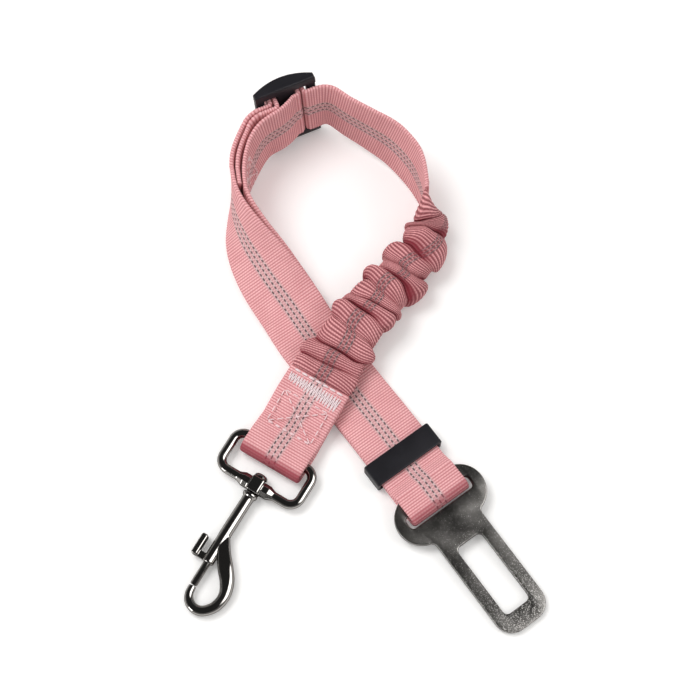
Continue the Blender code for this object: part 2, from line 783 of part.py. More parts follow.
def make_top_bartack(material, right):
    """Zigzag that holds the elastic's top end, on the strap's outer face."""
    total = length_of(right)
    points = []
    half = HALF_WEB - BOX_MARGIN
    for k in range(2 * BARTACK_TURNS + 1):
        mark = total - BARTACK_DEPTH * (0.9 if k % 2 else 1.6)
        spot = between(right, mark, 2 * total)[0]
        side = -half + 2 * half * k / (2 * BARTACK_TURNS)
        points.append(spot.point + spot.across * side
                      + spot.normal * (WEB_THICK / 2 + FINE_GAP + THREAD_RADIUS * 1.4))
    thread("bungee_top_bartack", points, material)


def bungee_samples():
    """Stations of the bungee with each one's half-width and half-thickness."""
    points = []
    for x, y, lift, roll, width, thick in BUNGEE_ROUTE:
        place = shifted((x * MM, y * MM, 0.0))
        points.append((place.x, place.y, lift, math.radians(roll), width * HALF_WEB, thick * MM))
    end_half = WEB_THICK / 2 + 1.5 * SLEEVE_WALL
    for back, width in ((HOOK_TOP_END + BUNGEE_TIP, 1.0), (HOOK_TOP_END + GAP, 1.0)):
        place = shifted(HOOK_FOLD) - heading(HOOK_HEADING) * back
        lift = (hook_top_height(HOOK_TOP_END) - end_half) / CROSSING_LIFT
        points.append((place.x, place.y, lift, 0.0, width * HALF_WEB, end_half))
    samples = catmull(points, 8)
    middles = []
    for x, y, lift, roll, width, thick in samples:
        middles.append(Vector((x, y, max(0.0, lift) * CROSSING_LIFT + oval_reach(width, thick, roll))))
    stations = stations_along(middles, [s[3] for s in samples])
    return stations, [s[4] for s in samples], [s[5] for s in samples]


def oval_outline(width, thick, sides):
    """Points of a squared-off oval, as distances across and off the face."""
    outline = []
    for i in range(sides):
        turn = 2 * math.pi * i / sides
        c, s = math.cos(turn), math.sin(turn)
        outline.append((width * math.copysign(abs(c) ** 0.8, c), thick * math.copysign(abs(s) ** 0.8, s)))
    return outline


def oval_reach(width, thick, roll):
    """Height of a rolled oval's middle above its lowest point."""
    return max(a * math.sin(roll) + f * math.cos(roll) for a, f in oval_outline(width, thick, 48))


def oval(station, width, thick, sides):
    """Ring of a squared-off oval round a station."""
    return [station.point + station.across * a + station.normal * f
            for a, f in oval_outline(width, thick, sides)]


def make_bungee(sleeve_material, elastic_material):
    """Gathered sleeve with puckers and a bore, and the elastic band that draws it in."""
    stations, widths, thicks = bungee_samples()
    total = length_of(stations)
    rings_per_pucker = 5
    count = PUCKERS * rings_per_pucker
    marks = [length_of(stations[:i + 1]) for i in range(len(stations))]

    def sample(mark):
        for i in range(len(marks) - 1):
            if marks[i + 1] >= mark or i == len(marks) - 2:
                share = (mark - marks[i]) / (marks[i + 1] - marks[i])
                a, b = stations[i], stations[i + 1]
                spot = Station(a.point.lerp(b.point, share), a.across.lerp(b.across, share).normalized(),
                               a.normal.lerp(b.normal, share).normalized())
                return (spot, widths[i] + (widths[i + 1] - widths[i]) * share,
                        thicks[i] + (thicks[i + 1] - thicks[i]) * share)

    outer, inner = [], []
    for k in range(count + 1):
        spot, width, thick = sample(total * k / count)
        fade = min(1.0, k / rings_per_pucker, (count - k) / rings_per_pucker)
        crease = fade * PUCKER_DEPTH * (1 - abs(math.sin(math.pi * k / rings_per_pucker)) ** 0.6)
        lean = 1 - crease
        outer.append(oval(spot, width * (1 - crease * 0.5), thick * lean, SLEEVE_SIDES))
        if k % 2 == 0 or k == count:
            room = 1 - PUCKER_DEPTH * fade
            inner.append(oval(spot, width * (1 - PUCKER_DEPTH * fade * 0.5) - SLEEVE_WALL,
                              thick * room - SLEEVE_WALL, SLEEVE_SIDES))
    skin = loft(outer + list(reversed(inner)), cyclic=True)
    add_object("bungee_sleeve", mesh_from(skin, "bungee_sleeve"), sleeve_material)
    band = between(stations, GAP, total - GAP)
    add_object("elastic_band", mesh_from(strip(band, ELASTIC_WIDTH, ELASTIC_THICK), "elastic_band"),
               elastic_material)


def snap_frame():
    """Frame of the snap at the eye's bar: X along the barrel, Y to the side, Z up."""
    height = WEB_THICK + GAP + EYE_WIRE
    thickest = max(HOOK_ARM, key=lambda p: p[2])
    pitch = math.atan2(height - thickest[2] * MM - GAP / 4, thickest[0] * MM)
    return line_frame(HOOK_FOLD - heading(HOOK_HEADING) * EYE_FROM_FOLD, HOOK_HEADING, height, pitch)


def boss_places():
    """Start and end of the eye's boss, and the barrel's top, along the snap's axis."""
    start = EYE_DEPTH - BOSS_LENGTH / 2
    end = start + BOSS_LENGTH
    return start, end, end + FINE_GAP + COLLAR_LENGTH


def make_eye(material):
    """Swivel eye: bent ring with a bored boss."""
    half = EYE_INNER_WIDTH / 2 + EYE_WIRE
    corners = [(EYE_DEPTH, 0.0), (EYE_DEPTH, half), (0.0, half), (0.0, -half), (EYE_DEPTH, -half),
               (EYE_DEPTH, 0.0)]
    path = fillet(corners, EYE_CORNER, 4)[:-1]
    rings = []
    count = len(path)
    for i, point in enumerate(path):
        step = path[(i + 1) % count] - path[i - 1]
        out = Vector((step.y, -step.x, 0.0)).normalized()
        ring = []
        for k in range(10):
            turn = 2 * math.pi * k / 10
            ring.append(Vector((point.x, point.y, 0.0)) + out * (EYE_WIRE * math.cos(turn))
                        + UP * (EYE_WIRE * math.sin(turn)))
        rings.append(ring)
    ring = mesh_from(loft(rings, cyclic=True), "swivel_eye")
    eye = add_object("swivel_eye", ring, material, snap_frame())
    start, end, top = boss_places()
    boss = box((start, -BOSS_WIDTH / 2, -BOSS_HEIGHT / 2), (end, BOSS_WIDTH / 2, BOSS_HEIGHT / 2))
    bmesh.ops.bevel(boss, geom=boss.edges, offset=BOSS_LENGTH / 5, segments=2, affect="EDGES", profile=0.5)
    boolean(eye, boss, "UNION")
    boolean(eye, cylinder(start - BOSS_LENGTH, end + BOSS_LENGTH, RIVET_RADIUS + FINE_GAP))


def hook_arm():
    """Tapered hook from the barrel's side round to the tip, square to its own path."""
    path = catmull([tuple(v * MM for v in p) for p in HOOK_ARM], 3)
    rings = []
    last = len(path) - 1
    for i, (x, y, radius) in enumerate(path):
        a, b = path[max(i - 1, 0)], path[min(i + 1, last)]
        out = Vector((b[1] - a[1], a[0] - b[0], 0.0)).normalized()
        ring = []
        for k in range(12):
            turn = 2 * math.pi * k / 12
            ring.append(Vector((x, y, 0.0)) + out * (radius * math.cos(turn))
                        + UP * (radius * math.sin(turn)))
        rings.append(ring)
    return loft(rings)


def trigger_places():
    """Ends of the trigger's neck along the snap's axis."""
    return BARREL_END - TRIGGER_NECK - FINE_GAP, BARREL_END - FINE_GAP


def make_hook(material):
    """Hook body: collar, bored barrel with the trigger's slot, and the hook arm."""
    top = boss_places()[2]
    barrel = mesh_from(cylinder(top, BARREL_END, BARREL_RADIUS), "hook_body")
    hook = add_object("hook_body", barrel, material, snap_frame())
    boolean(hook, hook_arm(), "UNION")
    collar = cylinder(top - COLLAR_LENGTH, top + GAP, COLLAR_RADIUS)
    boolean(hook, collar, "UNION")
    bore_start = BOLT_END - BOLT_LENGTH - SPRING_ROOM - GAP
    boolean(hook, cylinder(bore_start, BARREL_END + GAP, BOLT_RADIUS + FINE_GAP))
    rivet_end = bore_start - 2 * COLLAR_LENGTH
    boolean(hook, cylinder(top - 2 * COLLAR_LENGTH, rivet_end, RIVET_RADIUS + FINE_GAP))
    slot_half = TRIGGER_STEM / 2 + FINE_GAP
    slot_start = trigger_places()[0] - BOLT_TRAVEL - GAP
    boolean(hook, box((slot_start, -2 * BARREL_RADIUS, -slot_half), (BARREL_END + GAP, 0.0, slot_half)))


def make_rivet(material):
    """Headed pin that lets the hook turn in the eye's boss."""
    start, end, top = boss_places()
    bore_start = BOLT_END - BOLT_LENGTH - SPRING_ROOM - GAP
    pin_end = bore_start - 2 * COLLAR_LENGTH - GAP
    head = cylinder(start - FINE_GAP - RIVET_HEAD_LENGTH, start - FINE_GAP, RIVET_HEAD_RADIUS)
    rivet = add_object("swivel_rivet", mesh_from(head, "swivel_rivet"), material, snap_frame())
    boolean(rivet, cylinder(start - FINE_GAP - RIVET_HEAD_LENGTH / 2, pin_end, RIVET_RADIUS), "UNION")


def make_bolt(material):
    """Spring bolt that closes the hook, with its thumb trigger staked into a flat."""
    frame = snap_frame()
    start = BOLT_END - BOLT_LENGTH
    bolt = add_object("bolt", mesh_from(cylinder(start, BOLT_END, BOLT_RADIUS), "bolt"), material, frame)
    neck_start, neck_end = trigger_places()
    stem = TRIGGER_STEM / 2
    seat = BOLT_RADIUS / 3
    boolean(bolt, box((neck_start - FINE_GAP, -2 * BOLT_RADIUS, -stem - FINE_GAP),
                      (neck_end + FINE_GAP, -seat + FINE_GAP, stem + FINE_GAP)))
    outer = -TRIGGER_REACH
    plate_start = neck_end - TRIGGER_HEIGHT
    width = TRIGGER_WIDTH / 2
    grip = box((plate_start, outer, -width), (neck_end, outer + TRIGGER_PLATE, width))
    edges = [e for e in grip.edges if e.calc_length() > TRIGGER_PLATE * 1.2]
    bmesh.ops.bevel(grip, geom=edges, offset=TRIGGER_PLATE / 5, segments=2, affect="EDGES", profile=0.5)
    trigger = add_object("thumb_trigger", mesh_from(grip, "thumb_trigger"), material, frame)
    boolean(trigger, box((neck_start, outer + TRIGGER_PLATE / 2, -stem), (neck_end, -seat, stem)), "UNION")


def make_spring(material):
    """Coil spring behind the bolt."""
    length = SPRING_ROOM - 2 * GAP - 2 * SPRING_WIRE
    start = BOLT_END - BOLT_LENGTH - SPRING_ROOM + GAP + SPRING_WIRE
    radius = BOLT_RADIUS - SPRING_WIRE
    per_turn = 9
    points = []
    for k in range(SPRING_TURNS * per_turn + 1):
        turn = 2 * math.pi * k / per_turn
        along = start + length * k / (SPRING_TURNS * per_turn)
        points.append((along, radius * math.cos(turn), radius * math.sin(turn)))
    print("spring least self-gap mm", round((length / SPRING_TURNS - 2 * SPRING_WIRE) / MM, 3))
    curve = bpy.data.curves.new("bolt_spring", "CURVE")
    curve.dimensions = "3D"
    curve.bevel_depth = SPRING_WIRE
    curve.bevel_resolution = 1
    curve.use_fill_caps = True
    spline = curve.splines.new("POLY")
    spline.points.add(len(points) - 1)
    for target, point in zip(spline.points, points):
        target.co = (*point, 1.0)
    curve.materials.append(material)
    item = bpy.data.objects.new("bolt_spring", curve)
    item.matrix_world = snap_frame()
    bpy.context.scene.collection.objects.link(item)


def main():
    """Build every piece of the tether."""
    clear_scene()
    webbing = make_material("pink_webbing", (0.80, 0.27, 0.31), 0.85)
    sleeve = make_material("pink_sleeve", (0.74, 0.23, 0.28), 0.85)
    sewing = make_material("white_thread", (0.86, 0.72, 0.74), 0.7)
    elastic = make_material("white_elastic", (0.8, 0.78, 0.76), 0.9)
    plastic = make_material("black_acetal", (0.015, 0.015, 0.018), 0.42)
    steel = make_material("nickel_plated_steel", (0.18, 0.17, 0.16), 0.38, 1.0)
    nickel = make_material("bright_nickel", (0.62, 0.61, 0.6), 0.15, 1.0)

    make_tongue(steel)
    make_tongue_fold(webbing, fold_start())
    make_keeper(plastic)
    make_slide(plastic)
    loop, seam, total = make_loop(webbing, STRAP_FLAT_LENGTH)
    make_sewn_loop(webbing, loop, seam, total)
    make_slide_pass(webbing)
    right = make_right_run(webbing, LEAD_LENGTH)
    make_hook_loop(webbing)
    make_hook_sewing(sewing)
    make_tail_sewing(sewing, loop, seam, total)
    make_top_bartack(sewing, right)
    make_bungee(sleeve, elastic)
    make_eye(nickel)
    make_hook(nickel)
    make_rivet(nickel)
    make_bolt(nickel)
    make_spring(nickel)


main()
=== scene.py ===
"""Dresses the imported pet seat-belt tether for its studio view.

The strap's routes repeat the part's own, in millimetres, and are written to meshes in metres.
"""
from __future__ import annotations

import logging
import math
from dataclasses import dataclass
from enum import Enum

import bmesh
import bpy
import numpy as np
from bpy.types import ID, Material, Node, NodeSocket, NodeTree, Object
from mathutils import Matrix, Vector


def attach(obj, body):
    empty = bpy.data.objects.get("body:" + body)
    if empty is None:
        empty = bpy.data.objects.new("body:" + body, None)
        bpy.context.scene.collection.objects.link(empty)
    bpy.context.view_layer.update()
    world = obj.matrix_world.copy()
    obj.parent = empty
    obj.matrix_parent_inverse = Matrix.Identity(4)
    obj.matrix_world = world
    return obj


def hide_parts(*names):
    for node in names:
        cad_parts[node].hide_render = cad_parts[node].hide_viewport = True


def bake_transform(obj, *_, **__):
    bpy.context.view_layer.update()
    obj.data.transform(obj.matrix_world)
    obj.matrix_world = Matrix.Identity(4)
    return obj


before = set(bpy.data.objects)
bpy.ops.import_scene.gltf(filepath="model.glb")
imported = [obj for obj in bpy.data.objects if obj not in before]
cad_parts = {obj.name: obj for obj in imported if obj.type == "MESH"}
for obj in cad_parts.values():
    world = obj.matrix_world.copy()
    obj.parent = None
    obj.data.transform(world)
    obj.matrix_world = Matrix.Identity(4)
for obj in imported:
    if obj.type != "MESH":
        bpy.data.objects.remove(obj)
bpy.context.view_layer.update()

LOG = logging.getLogger("tether")
MM = 0.001
UP = np.array([0.0, 0.0, 1.0])
SPAN_STEPS = 8
NEARLY_STRAIGHT = math.radians(88)
GRID_TURN = (0.6, 0.5, 0.4)

Array = np.ndarray
Pair = tuple[float, float]
# A point, direction or colour; a range and what it becomes; an outline; places with radii; rows of a route.
Triple = tuple[float, float, float]
Ramp = tuple[float, float, float, float]
Outline = list[Pair]
Profile = tuple[Pair, ...]
Route = tuple[tuple[float, ...], ...]


class Face(Enum):
    """Which side of the doubled strap a layer lies on."""

    UNDER = -1.0
    TOP = 1.0


def unit(vectors: Array) -> Array:
    """Scale vectors, one or a row each, to length one."""
    return vectors / np.maximum(np.linalg.norm(vectors, axis=-1, keepdims=True), 1e-12)


def heading(degrees: float) -> Array:
    """Return the level unit vector at an angle from +X."""
    turn = math.radians(degrees)
    return np.array([math.cos(turn), math.sin(turn), 0.0])


def full_turn(count: int) -> Array:
    """Return even angles all the way round."""
    return np.linspace(0, 2 * math.pi, count, endpoint=False)


def smooth_curve(points: list[tuple[float, ...]], steps: int) -> Array:
    """Run a smooth curve through points.

    Args:
        points: The points, each a row of numbers that are all smoothed alike.
        steps: How many samples each span gets.

    Returns:
        The samples, one row each.
    """
    rows = np.array([points[0], *points, points[-1]], float)
    samples = []
    for p0, p1, p2, p3 in zip(rows, rows[1:], rows[2:], rows[3:]):
        for k in range(steps):
            t = k / steps
            samples.append(0.5 * (2 * p1 + (p2 - p0) * t + (2 * p0 - 5 * p1 + 4 * p2 - p3) * t * t
                                  + (3 * p1 - p0 - 3 * p2 + p3) * t ** 3))
    samples.append(rows[-1])
    return np.array(samples)


def rounded_path(corners: Outline, radius: float, steps: int = 10) -> Array:
    """Round the corners of a flat polyline.

    Args:
        corners: The polyline's corners.
        radius: Radius of every bend.
        steps: Samples on each bend.

    Returns:
        The path's points, one row each.
    """
    path = [np.array(corners[0], float)]
    for before, corner, after in zip(corners, corners[1:], corners[2:]):
        corner = np.array(corner, float)
        a = unit(np.array(before) - corner)
        b = unit(np.array(after) - corner)
        half = math.acos(max(-1.0, min(1.0, float(a @ b)))) / 2
        if half > NEARLY_STRAIGHT:
            path.append(corner)
            continue
        centre = corner + unit(a + b) * radius / math.sin(half)
        arm = corner + a * radius / math.tan(half) - centre
        sign = 1.0 if a[0] * b[1] - a[1] * b[0] < 0 else -1.0
        for k in range(steps + 1):
            turn = sign * (math.pi - 2 * half) * k / steps
            c, s = math.cos(turn), math.sin(turn)
            path.append(centre + np.array([c * arm[0] - s * arm[1], s * arm[0] + c * arm[1]]))
    path.append(np.array(corners[-1], float))
    return np.array(path)


@dataclass
class Path:
    """Middle line of a strip of webbing, with its width direction and face normal."""

    point: Array
    across: Array
    normal: Array
    spread: Array

    @classmethod
    def through(cls, point: Array, across: Array, spread: Array | float = 0.0) -> Path:
        """Make a path from points and rough width directions; the face follows from both.

        Args:
            point: Its points, one row each.
            across: Rough width direction at each.
            spread: The layers' distance, in pitches.

        Returns:
            The path.
        """
        tangent = unit(np.gradient(point, axis=0))
        across = unit(across - tangent * np.sum(across * tangent, axis=1, keepdims=True))
        return cls(point, across, np.cross(across, tangent), np.zeros(len(point)) + spread)

    @classmethod
    def rolled(cls, point: Array, roll: Array, spread: Array | float = 0.0) -> Path:
        """Make a path whose right-hand edge rises as its roll, in radians, grows.

        Args:
            point: Its points, one row each.
            roll: Roll at each, in radians.
            spread: The layers' distance, in pitches.

        Returns:
            The path.
        """
        tangent = unit(np.gradient(point, axis=0))
        right = unit(np.cross(tangent, UP))
        across = right * np.cos(roll)[:, None] + UP * np.sin(roll)[:, None]
        return cls.through(point, across, spread)

    @classmethod
    def upright(cls, flat: Array, place: Array, along: Array, up: Array,
                across: Array) -> Path:
        """Make a path from a flat line in the plane square to the strip's width."""
        point = place + flat[:, :1] * along + flat[:, 1:] * up
        return cls.through(point, np.tile(across, (len(flat), 1)))

    def marks(self) -> Array:
        """Return each point's distance from the start."""
        return np.concatenate([[0.0], np.cumsum(np.linalg.norm(np.diff(self.point, axis=0), axis=1))])

    def length(self) -> float:
        """Return the whole length."""
        return float(self.marks()[-1])

    def at(self, marks: Array) -> Path:
        """Return the path's state at distances from its start.

        Args:
            marks: The distances.

        Returns:
            The path there, a point for each distance.
        """
        own = self.marks()
        point, across, normal = (np.stack([np.interp(marks, own, column) for column in rows.T], axis=1)
                                 for rows in (self.point, self.across, self.normal))
        return Path(point, unit(across), unit(normal), np.interp(marks, own, self.spread))

    def rows(self, part: slice) -> Path:
        """Return some of the path's own points."""
        return Path(self.point[part], self.across[part], self.normal[part], self.spread[part])

    def cut(self, start: float, end: float, step: float = 0.5) -> Path:
        """Return the stretch between two distances, in even steps."""
        return self.at(np.linspace(start, end, max(2, int(round((end - start) / step)) + 1)))

    def layer(self, face: Face, pitch: float) -> Path:
        """Return one layer of a doubled strap."""
        shift = self.normal * (face.value * self.spread * pitch / 2)[:, None]
        return Path(self.point + shift, self.across, self.normal, self.spread)

    def followed_by(self, *others: Path) -> Path:
        """Join paths end to end and work the faces out again."""
        rows = [self, *others]
        return Path.through(np.concatenate([r.point for r in rows]),
                            np.concatenate([r.across for r in rows]))

    def relaxed(self, start: float, end: float, rounds: int, step: float = 0.4) -> Path:
        """Ease the bends between two distances, as stiff webbing does.

        Args:
            start: Where easing starts.
            end: Where it ends.
            rounds: How often the points ease.
            step: Distance between points.

        Returns:
            The eased path.
        """
        even = self.cut(0.0, self.length(), step)
        marks = even.marks()
        inside = ((marks > start) & (marks < end))[1:-1, None]
        point, across = even.point.copy(), even.across.copy()
        for _ in range(rounds):
            for rows in (point, across):
                rows[1:-1] += inside * (rows[:-2] - 2 * rows[1:-1] + rows[2:]) / 4
        return Path.through(point, across)

    def backwards(self) -> Path:
        """Return the same line walked the other way."""
        return Path.through(self.point[::-1], self.across[::-1])


def add_object(name: str, data: ID) -> Object:
    """Add an object to the scene.

    Args:
        name: Its name.
        data: Its mesh, curve, light or camera.

    Returns:
        The object.
    """
    item = bpy.data.objects.new(name, data)
    bpy.context.scene.collection.objects.link(item)
    return item


def new_object(name: str, verts: Array, faces: list, smooth: bool = True) -> Object:
    """Make a mesh object from points in millimetres.

    Args:
        name: The piece's name.
        verts: Points, one row each.
        faces: Corner numbers of each face.
        smooth: Whether its faces shade smoothly.

    Returns:
        The new object, linked to the scene.
    """
    mesh = bpy.data.meshes.new(name)
    mesh.from_pydata((verts * MM).tolist(), [], faces)
    bm = bmesh.new()
    bm.from_mesh(mesh)
    bmesh.ops.recalc_face_normals(bm, faces=bm.faces)
    bm.to_mesh(mesh)
    bm.free()
    mesh.polygons.foreach_set("use_smooth", [smooth] * len(mesh.polygons))
    return add_object(name, mesh)


def ring_faces(rings: int, sides: int, cyclic: bool = False) -> list[list[int]]:
    """Return the faces of rings skinned one after another.

    Args:
        rings: Number of rings.
        sides: Points on each.
        cyclic: Whether the last ring joins the first.

    Returns:
        Each face's corner numbers, with caps unless cyclic.
    """
    a = np.arange(rings if cyclic else rings - 1)[:, None] * sides
    i = np.arange(sides)[None, :]
    j = (i + 1) % sides
    b = (a + sides) % (rings * sides)
    quads = np.stack([a + i, a + j, b + j, b + i], axis=-1).reshape(-1, 4).tolist()
    if not cyclic:
        quads.append(list(range(sides - 1, -1, -1)))
        quads.append(list(range((rings - 1) * sides, rings * sides)))
    return quads


def tube(name: str, line: Array, radii: Array, sides: int, side: Array,
         cyclic: bool = False, roundness: Array | float = 1.0) -> Object:
    """Skin a tube along a line that keeps square to one direction.

    Args:
        name: The piece's name.
        line: Middle line.
        radii: Radius at each point.
        sides: Sides of the tube.
        side: A direction square to the line all the way.
        cyclic: Whether the line closes on itself.
        roundness: 1 for a round section, less for a flatter-faced one, at each point.

    Returns:
        The tube.
    """
    if cyclic:
        step = np.roll(line, -1, axis=0) - np.roll(line, 1, axis=0)
    else:
        step = np.gradient(line, axis=0)
    out = unit(np.cross(unit(step), side))
    turn = full_turn(sides)
    power = (np.zeros(len(line)) + roundness)[:, None]
    c, s = (np.sign(v) * np.abs(v) ** power * radii[:, None] for v in (np.cos(turn), np.sin(turn)))
    ring = line[:, None, :] + out[:, None, :] * c[..., None] + side[None, None, :] * s[..., None]
    return new_object(name, ring.reshape(-1, 3), ring_faces(len(line), sides, cyclic=cyclic))


def lathe(name: str, profile: Outline | Profile, sides: int = 40) -> Object:
    """Turn a profile of places along X and radii about the X axis.

    Args:
        name: The piece's name.
        profile: Places along X, each with its radius.
        sides: Sides of the turned piece.

    Returns:
        The turned piece.
    """
    turn = full_turn(sides)
    rings = [np.stack([np.full(sides, x), r * np.cos(turn), r * np.sin(turn)], axis=1) for x, r in profile]
    return new_object(name, np.concatenate(rings), ring_faces(len(profile), sides))


def block(name: str, low: Triple, high: Triple, edge: float = 0.0) -> Object:
    """Make a block with rounded edges.

    Args:
        name: The piece's name.
        low: Its low corner.
        high: Its high corner.
        edge: Radius of its edges.

    Returns:
        The block.
    """
    corners = np.array([[x, y, z] for x in (low[0], high[0]) for y in (low[1], high[1])
                        for z in (low[2], high[2])])
    faces = [[0, 1, 3, 2], [4, 6, 7, 5], [0, 4, 5, 1], [2, 3, 7, 6], [0, 2, 6, 4], [1, 5, 7, 3]]
    item = new_object(name, corners, faces, smooth=False)
    if edge > 0:
        bm = bmesh.new()
        bm.from_mesh(item.data)
        bmesh.ops.bevel(bm, geom=bm.edges, offset=edge * MM, segments=4, affect="EDGES", profile=0.5)
        bm.to_mesh(item.data)
        bm.free()
    return item


def pressed_plate(name: str, outlines: list[Outline], thick: float, edge: float) -> Object:
    """Make a flat plate with holes and rounded edges, lying across Z.

    Args:
        name: The piece's name.
        outlines: The outer outline, then each hole's.
        thick: Whole thickness.
        edge: Radius of the rounded edges.

    Returns:
        The plate.
    """
    curve = bpy.data.curves.new(name, "CURVE")
    curve.dimensions = "2D"
    curve.fill_mode = "BOTH"
    curve.extrude = (thick / 2 - edge) * MM
    curve.bevel_depth = edge * MM
    curve.bevel_resolution = 3
    curve.offset = -edge * MM
    for outline in outlines:
        spline = curve.splines.new("POLY")
        spline.points.add(len(outline) - 1)
        for target, (x, y) in zip(spline.points, outline):
            target.co = (x * MM, y * MM, 0.0, 1.0)
        spline.use_cyclic_u = True
    source = add_object(name + "_curve", curve)
    mesh = bpy.data.meshes.new_from_object(source.evaluated_get(bpy.context.evaluated_depsgraph_get()))
    bpy.data.objects.remove(source, do_unlink=True)
    bm = bmesh.new()
    bm.from_mesh(mesh)
    bmesh.ops.remove_doubles(bm, verts=bm.verts, dist=1e-6)
    bmesh.ops.recalc_face_normals(bm, faces=bm.faces)
    bm.to_mesh(mesh)
    bm.free()
    item = add_object(name, mesh)
    shade_by_angle(item)
    return item


def shade_by_angle(item: Object, degrees: float = 35.0) -> None:
    """Shade smoothly but for edges sharper than an angle."""
    item.data.shade_smooth()
    item.data.set_sharp_from_angle(angle=math.radians(degrees))


def keep_modifiers(item: Object) -> None:
    """Make the modifiers' result the piece's own mesh.

    Args:
        item: The piece.
    """
    mesh = bpy.data.meshes.new_from_object(item.evaluated_get(bpy.context.evaluated_depsgraph_get()))
    item.modifiers.clear()
    item.data = mesh


def combine(item: Object, other: Object, operation: str = "UNION") -> None:
    """Add another solid to a piece, or cut it away, and drop the other.

    Args:
        item: The piece.
        other: The other solid.
        operation: UNION to add, DIFFERENCE to cut.
    """
    modifier = item.modifiers.new("combine", "BOOLEAN")
    modifier.operation = operation
    modifier.solver = "EXACT"
    modifier.object = other
    keep_modifiers(item)
    bpy.data.objects.remove(other, do_unlink=True)


def cast(item: Object, voxel: float, rounds: int) -> None:
    """Melt a piece's joins into the soft fillets of a casting.

    Args:
        item: The piece.
        voxel: Grain of the melt, in millimetres.
        rounds: How often it is smoothed.
    """
    remesh = item.modifiers.new("melt", "REMESH")
    remesh.mode = "VOXEL"
    remesh.voxel_size = voxel * MM
    relax = item.modifiers.new("relax", "SMOOTH")
    relax.factor = 0.5
    relax.iterations = rounds
    keep_modifiers(item)
    item.data.shade_smooth()


def place(item: Object, matrix: Matrix) -> None:
    """Move a piece's mesh from its own frame to another."""
    item.data.transform(matrix)


def mark_weave(item: Object, web: Array) -> None:
    """Store each point's place along and across the weave, and its painted shade."""
    attribute = item.data.attributes.new("web", "FLOAT_VECTOR", "POINT")
    attribute.data.foreach_set("vector", web.reshape(-1))


class Shading:
    """Builds a node tree that leads to one node."""

    def __init__(self, tree: NodeTree, end: Node) -> None:
        """Work in one tree, toward its shader or its output."""
        self.tree = tree
        self.end = end

    def node(self, kind: str, **settings: object) -> Node:
        """Add a node and set its properties.

        Args:
            kind: The node's type.
            settings: Its properties.

        Returns:
            The node.
        """
        node = self.tree.nodes.new(kind)
        for key, value in settings.items():
            setattr(node, key, value)
        return node

    def link(self, source: object, target: NodeSocket) -> None:
        """Wire a socket, or set a plain value on it.

        Args:
            source: The socket or value.
            target: The socket that takes it.
        """
        if isinstance(source, NodeSocket):
            self.tree.links.new(source, target)
        else:
            target.default_value = source

    def give(self, label: str, source: object) -> None:
        """Wire an input of the last node, or set a plain value on it."""
        self.link(source, self.end.inputs[label])

    def math(self, operation: str, a: object, b: object = 0.0, clamp: bool = False) -> NodeSocket:
        """Add a math node.

        Args:
            operation: What it does.
            a: First socket or value.
            b: Second socket or value.
            clamp: Whether the result stays from 0 to 1.

        Returns:
            The result.
        """
        node = self.node("ShaderNodeMath", operation=operation, use_clamp=clamp)
        self.link(a, node.inputs[0])
        self.link(b, node.inputs[1])
        return node.outputs[0]

    def mix(self, share: object, a: object, b: object) -> NodeSocket:
        """Mix two colours.

        Args:
            share: How much of the second.
            a: First colour.
            b: Second colour.

        Returns:
            The mixed colour.
        """
        node = self.node("ShaderNodeMix", data_type="RGBA")
        for source, label in ((share, "Factor"), (a, "A"), (b, "B")):
            self.link(source, node.inputs[label])
        return node.outputs["Result"]

    def noise(self, scale: object, detail: float = 4.0) -> NodeSocket:
        """Add a noise texture in object space, turned so that flat faces cut across its grid.

        Args:
            scale: The noise's scale.
            detail: How many finer layers it has.

        Returns:
            The noise, from 0 to 1.
        """
        node = self.node("ShaderNodeTexNoise")
        self.link(scale, node.inputs["Scale"])
        node.inputs["Detail"].default_value = detail
        turned = self.node("ShaderNodeVectorRotate", rotation_type="EULER_XYZ")
        turned.inputs["Rotation"].default_value = GRID_TURN
        self.link(self.node("ShaderNodeTexCoord").outputs["Object"], turned.inputs["Vector"])
        self.link(turned.outputs["Vector"], node.inputs["Vector"])
        return node.outputs["Fac"]

    def spread(self, value: object, low: float, high: float, to_low: float = 0.0,
               to_high: float = 1.0) -> NodeSocket:
        """Stretch a range of values to another range, clamped.

        Args:
            value: The value.
            low: Start of its range.
            high: End of its range.
            to_low: What the start becomes.
            to_high: What the end becomes.

        Returns:
            The stretched value.
        """
        node = self.node("ShaderNodeMapRange")
        for source, target in zip((value, low, high, to_low, to_high), node.inputs):
            self.link(source, target)
        return node.outputs[0]

    def wave(self, value: object, pitch: float, shift: object) -> NodeSocket:
        """Add a sine wave that repeats at a pitch, shifted by an angle."""
        angle = self.math("MULTIPLY", value, 2 * math.pi / pitch)
        return self.math("SINE", self.math("ADD", angle, shift))

    def bump(self, height: object, strength: float, depth: float) -> NodeSocket:
        """Add relief.

        Args:
            height: The relief's height, from 0 to 1.
            strength: How strongly it shades.
            depth: Its depth in millimetres.

        Returns:
            The normal.
        """
        node = self.node("ShaderNodeBump")
        node.inputs["Strength"].default_value = strength
        node.inputs["Distance"].default_value = depth * MM
        self.link(height, node.inputs["Height"])
        return node.outputs["Normal"]


def new_group(name: str, inputs: list[tuple[str, float]],
              outputs: list[str]) -> tuple[NodeTree, Shading, Node]:
    """Start a shader node group with number sockets.

    Args:
        name: The group's name.
        inputs: Each input's name and value.
        outputs: Each output's name.

    Returns:
        The group, the means to build in it and the node with its inputs.
    """
    group = bpy.data.node_groups.new(name, "ShaderNodeTree")
    for label, value in inputs:
        socket = group.interface.new_socket(label, in_out="INPUT", socket_type="NodeSocketFloat")
        socket.default_value = value
    for label in outputs:
        group.interface.new_socket(label, in_out="OUTPUT", socket_type="NodeSocketFloat")
    ports = group.nodes.new("NodeGroupInput")
    return group, Shading(group, group.nodes.new("NodeGroupOutput")), ports


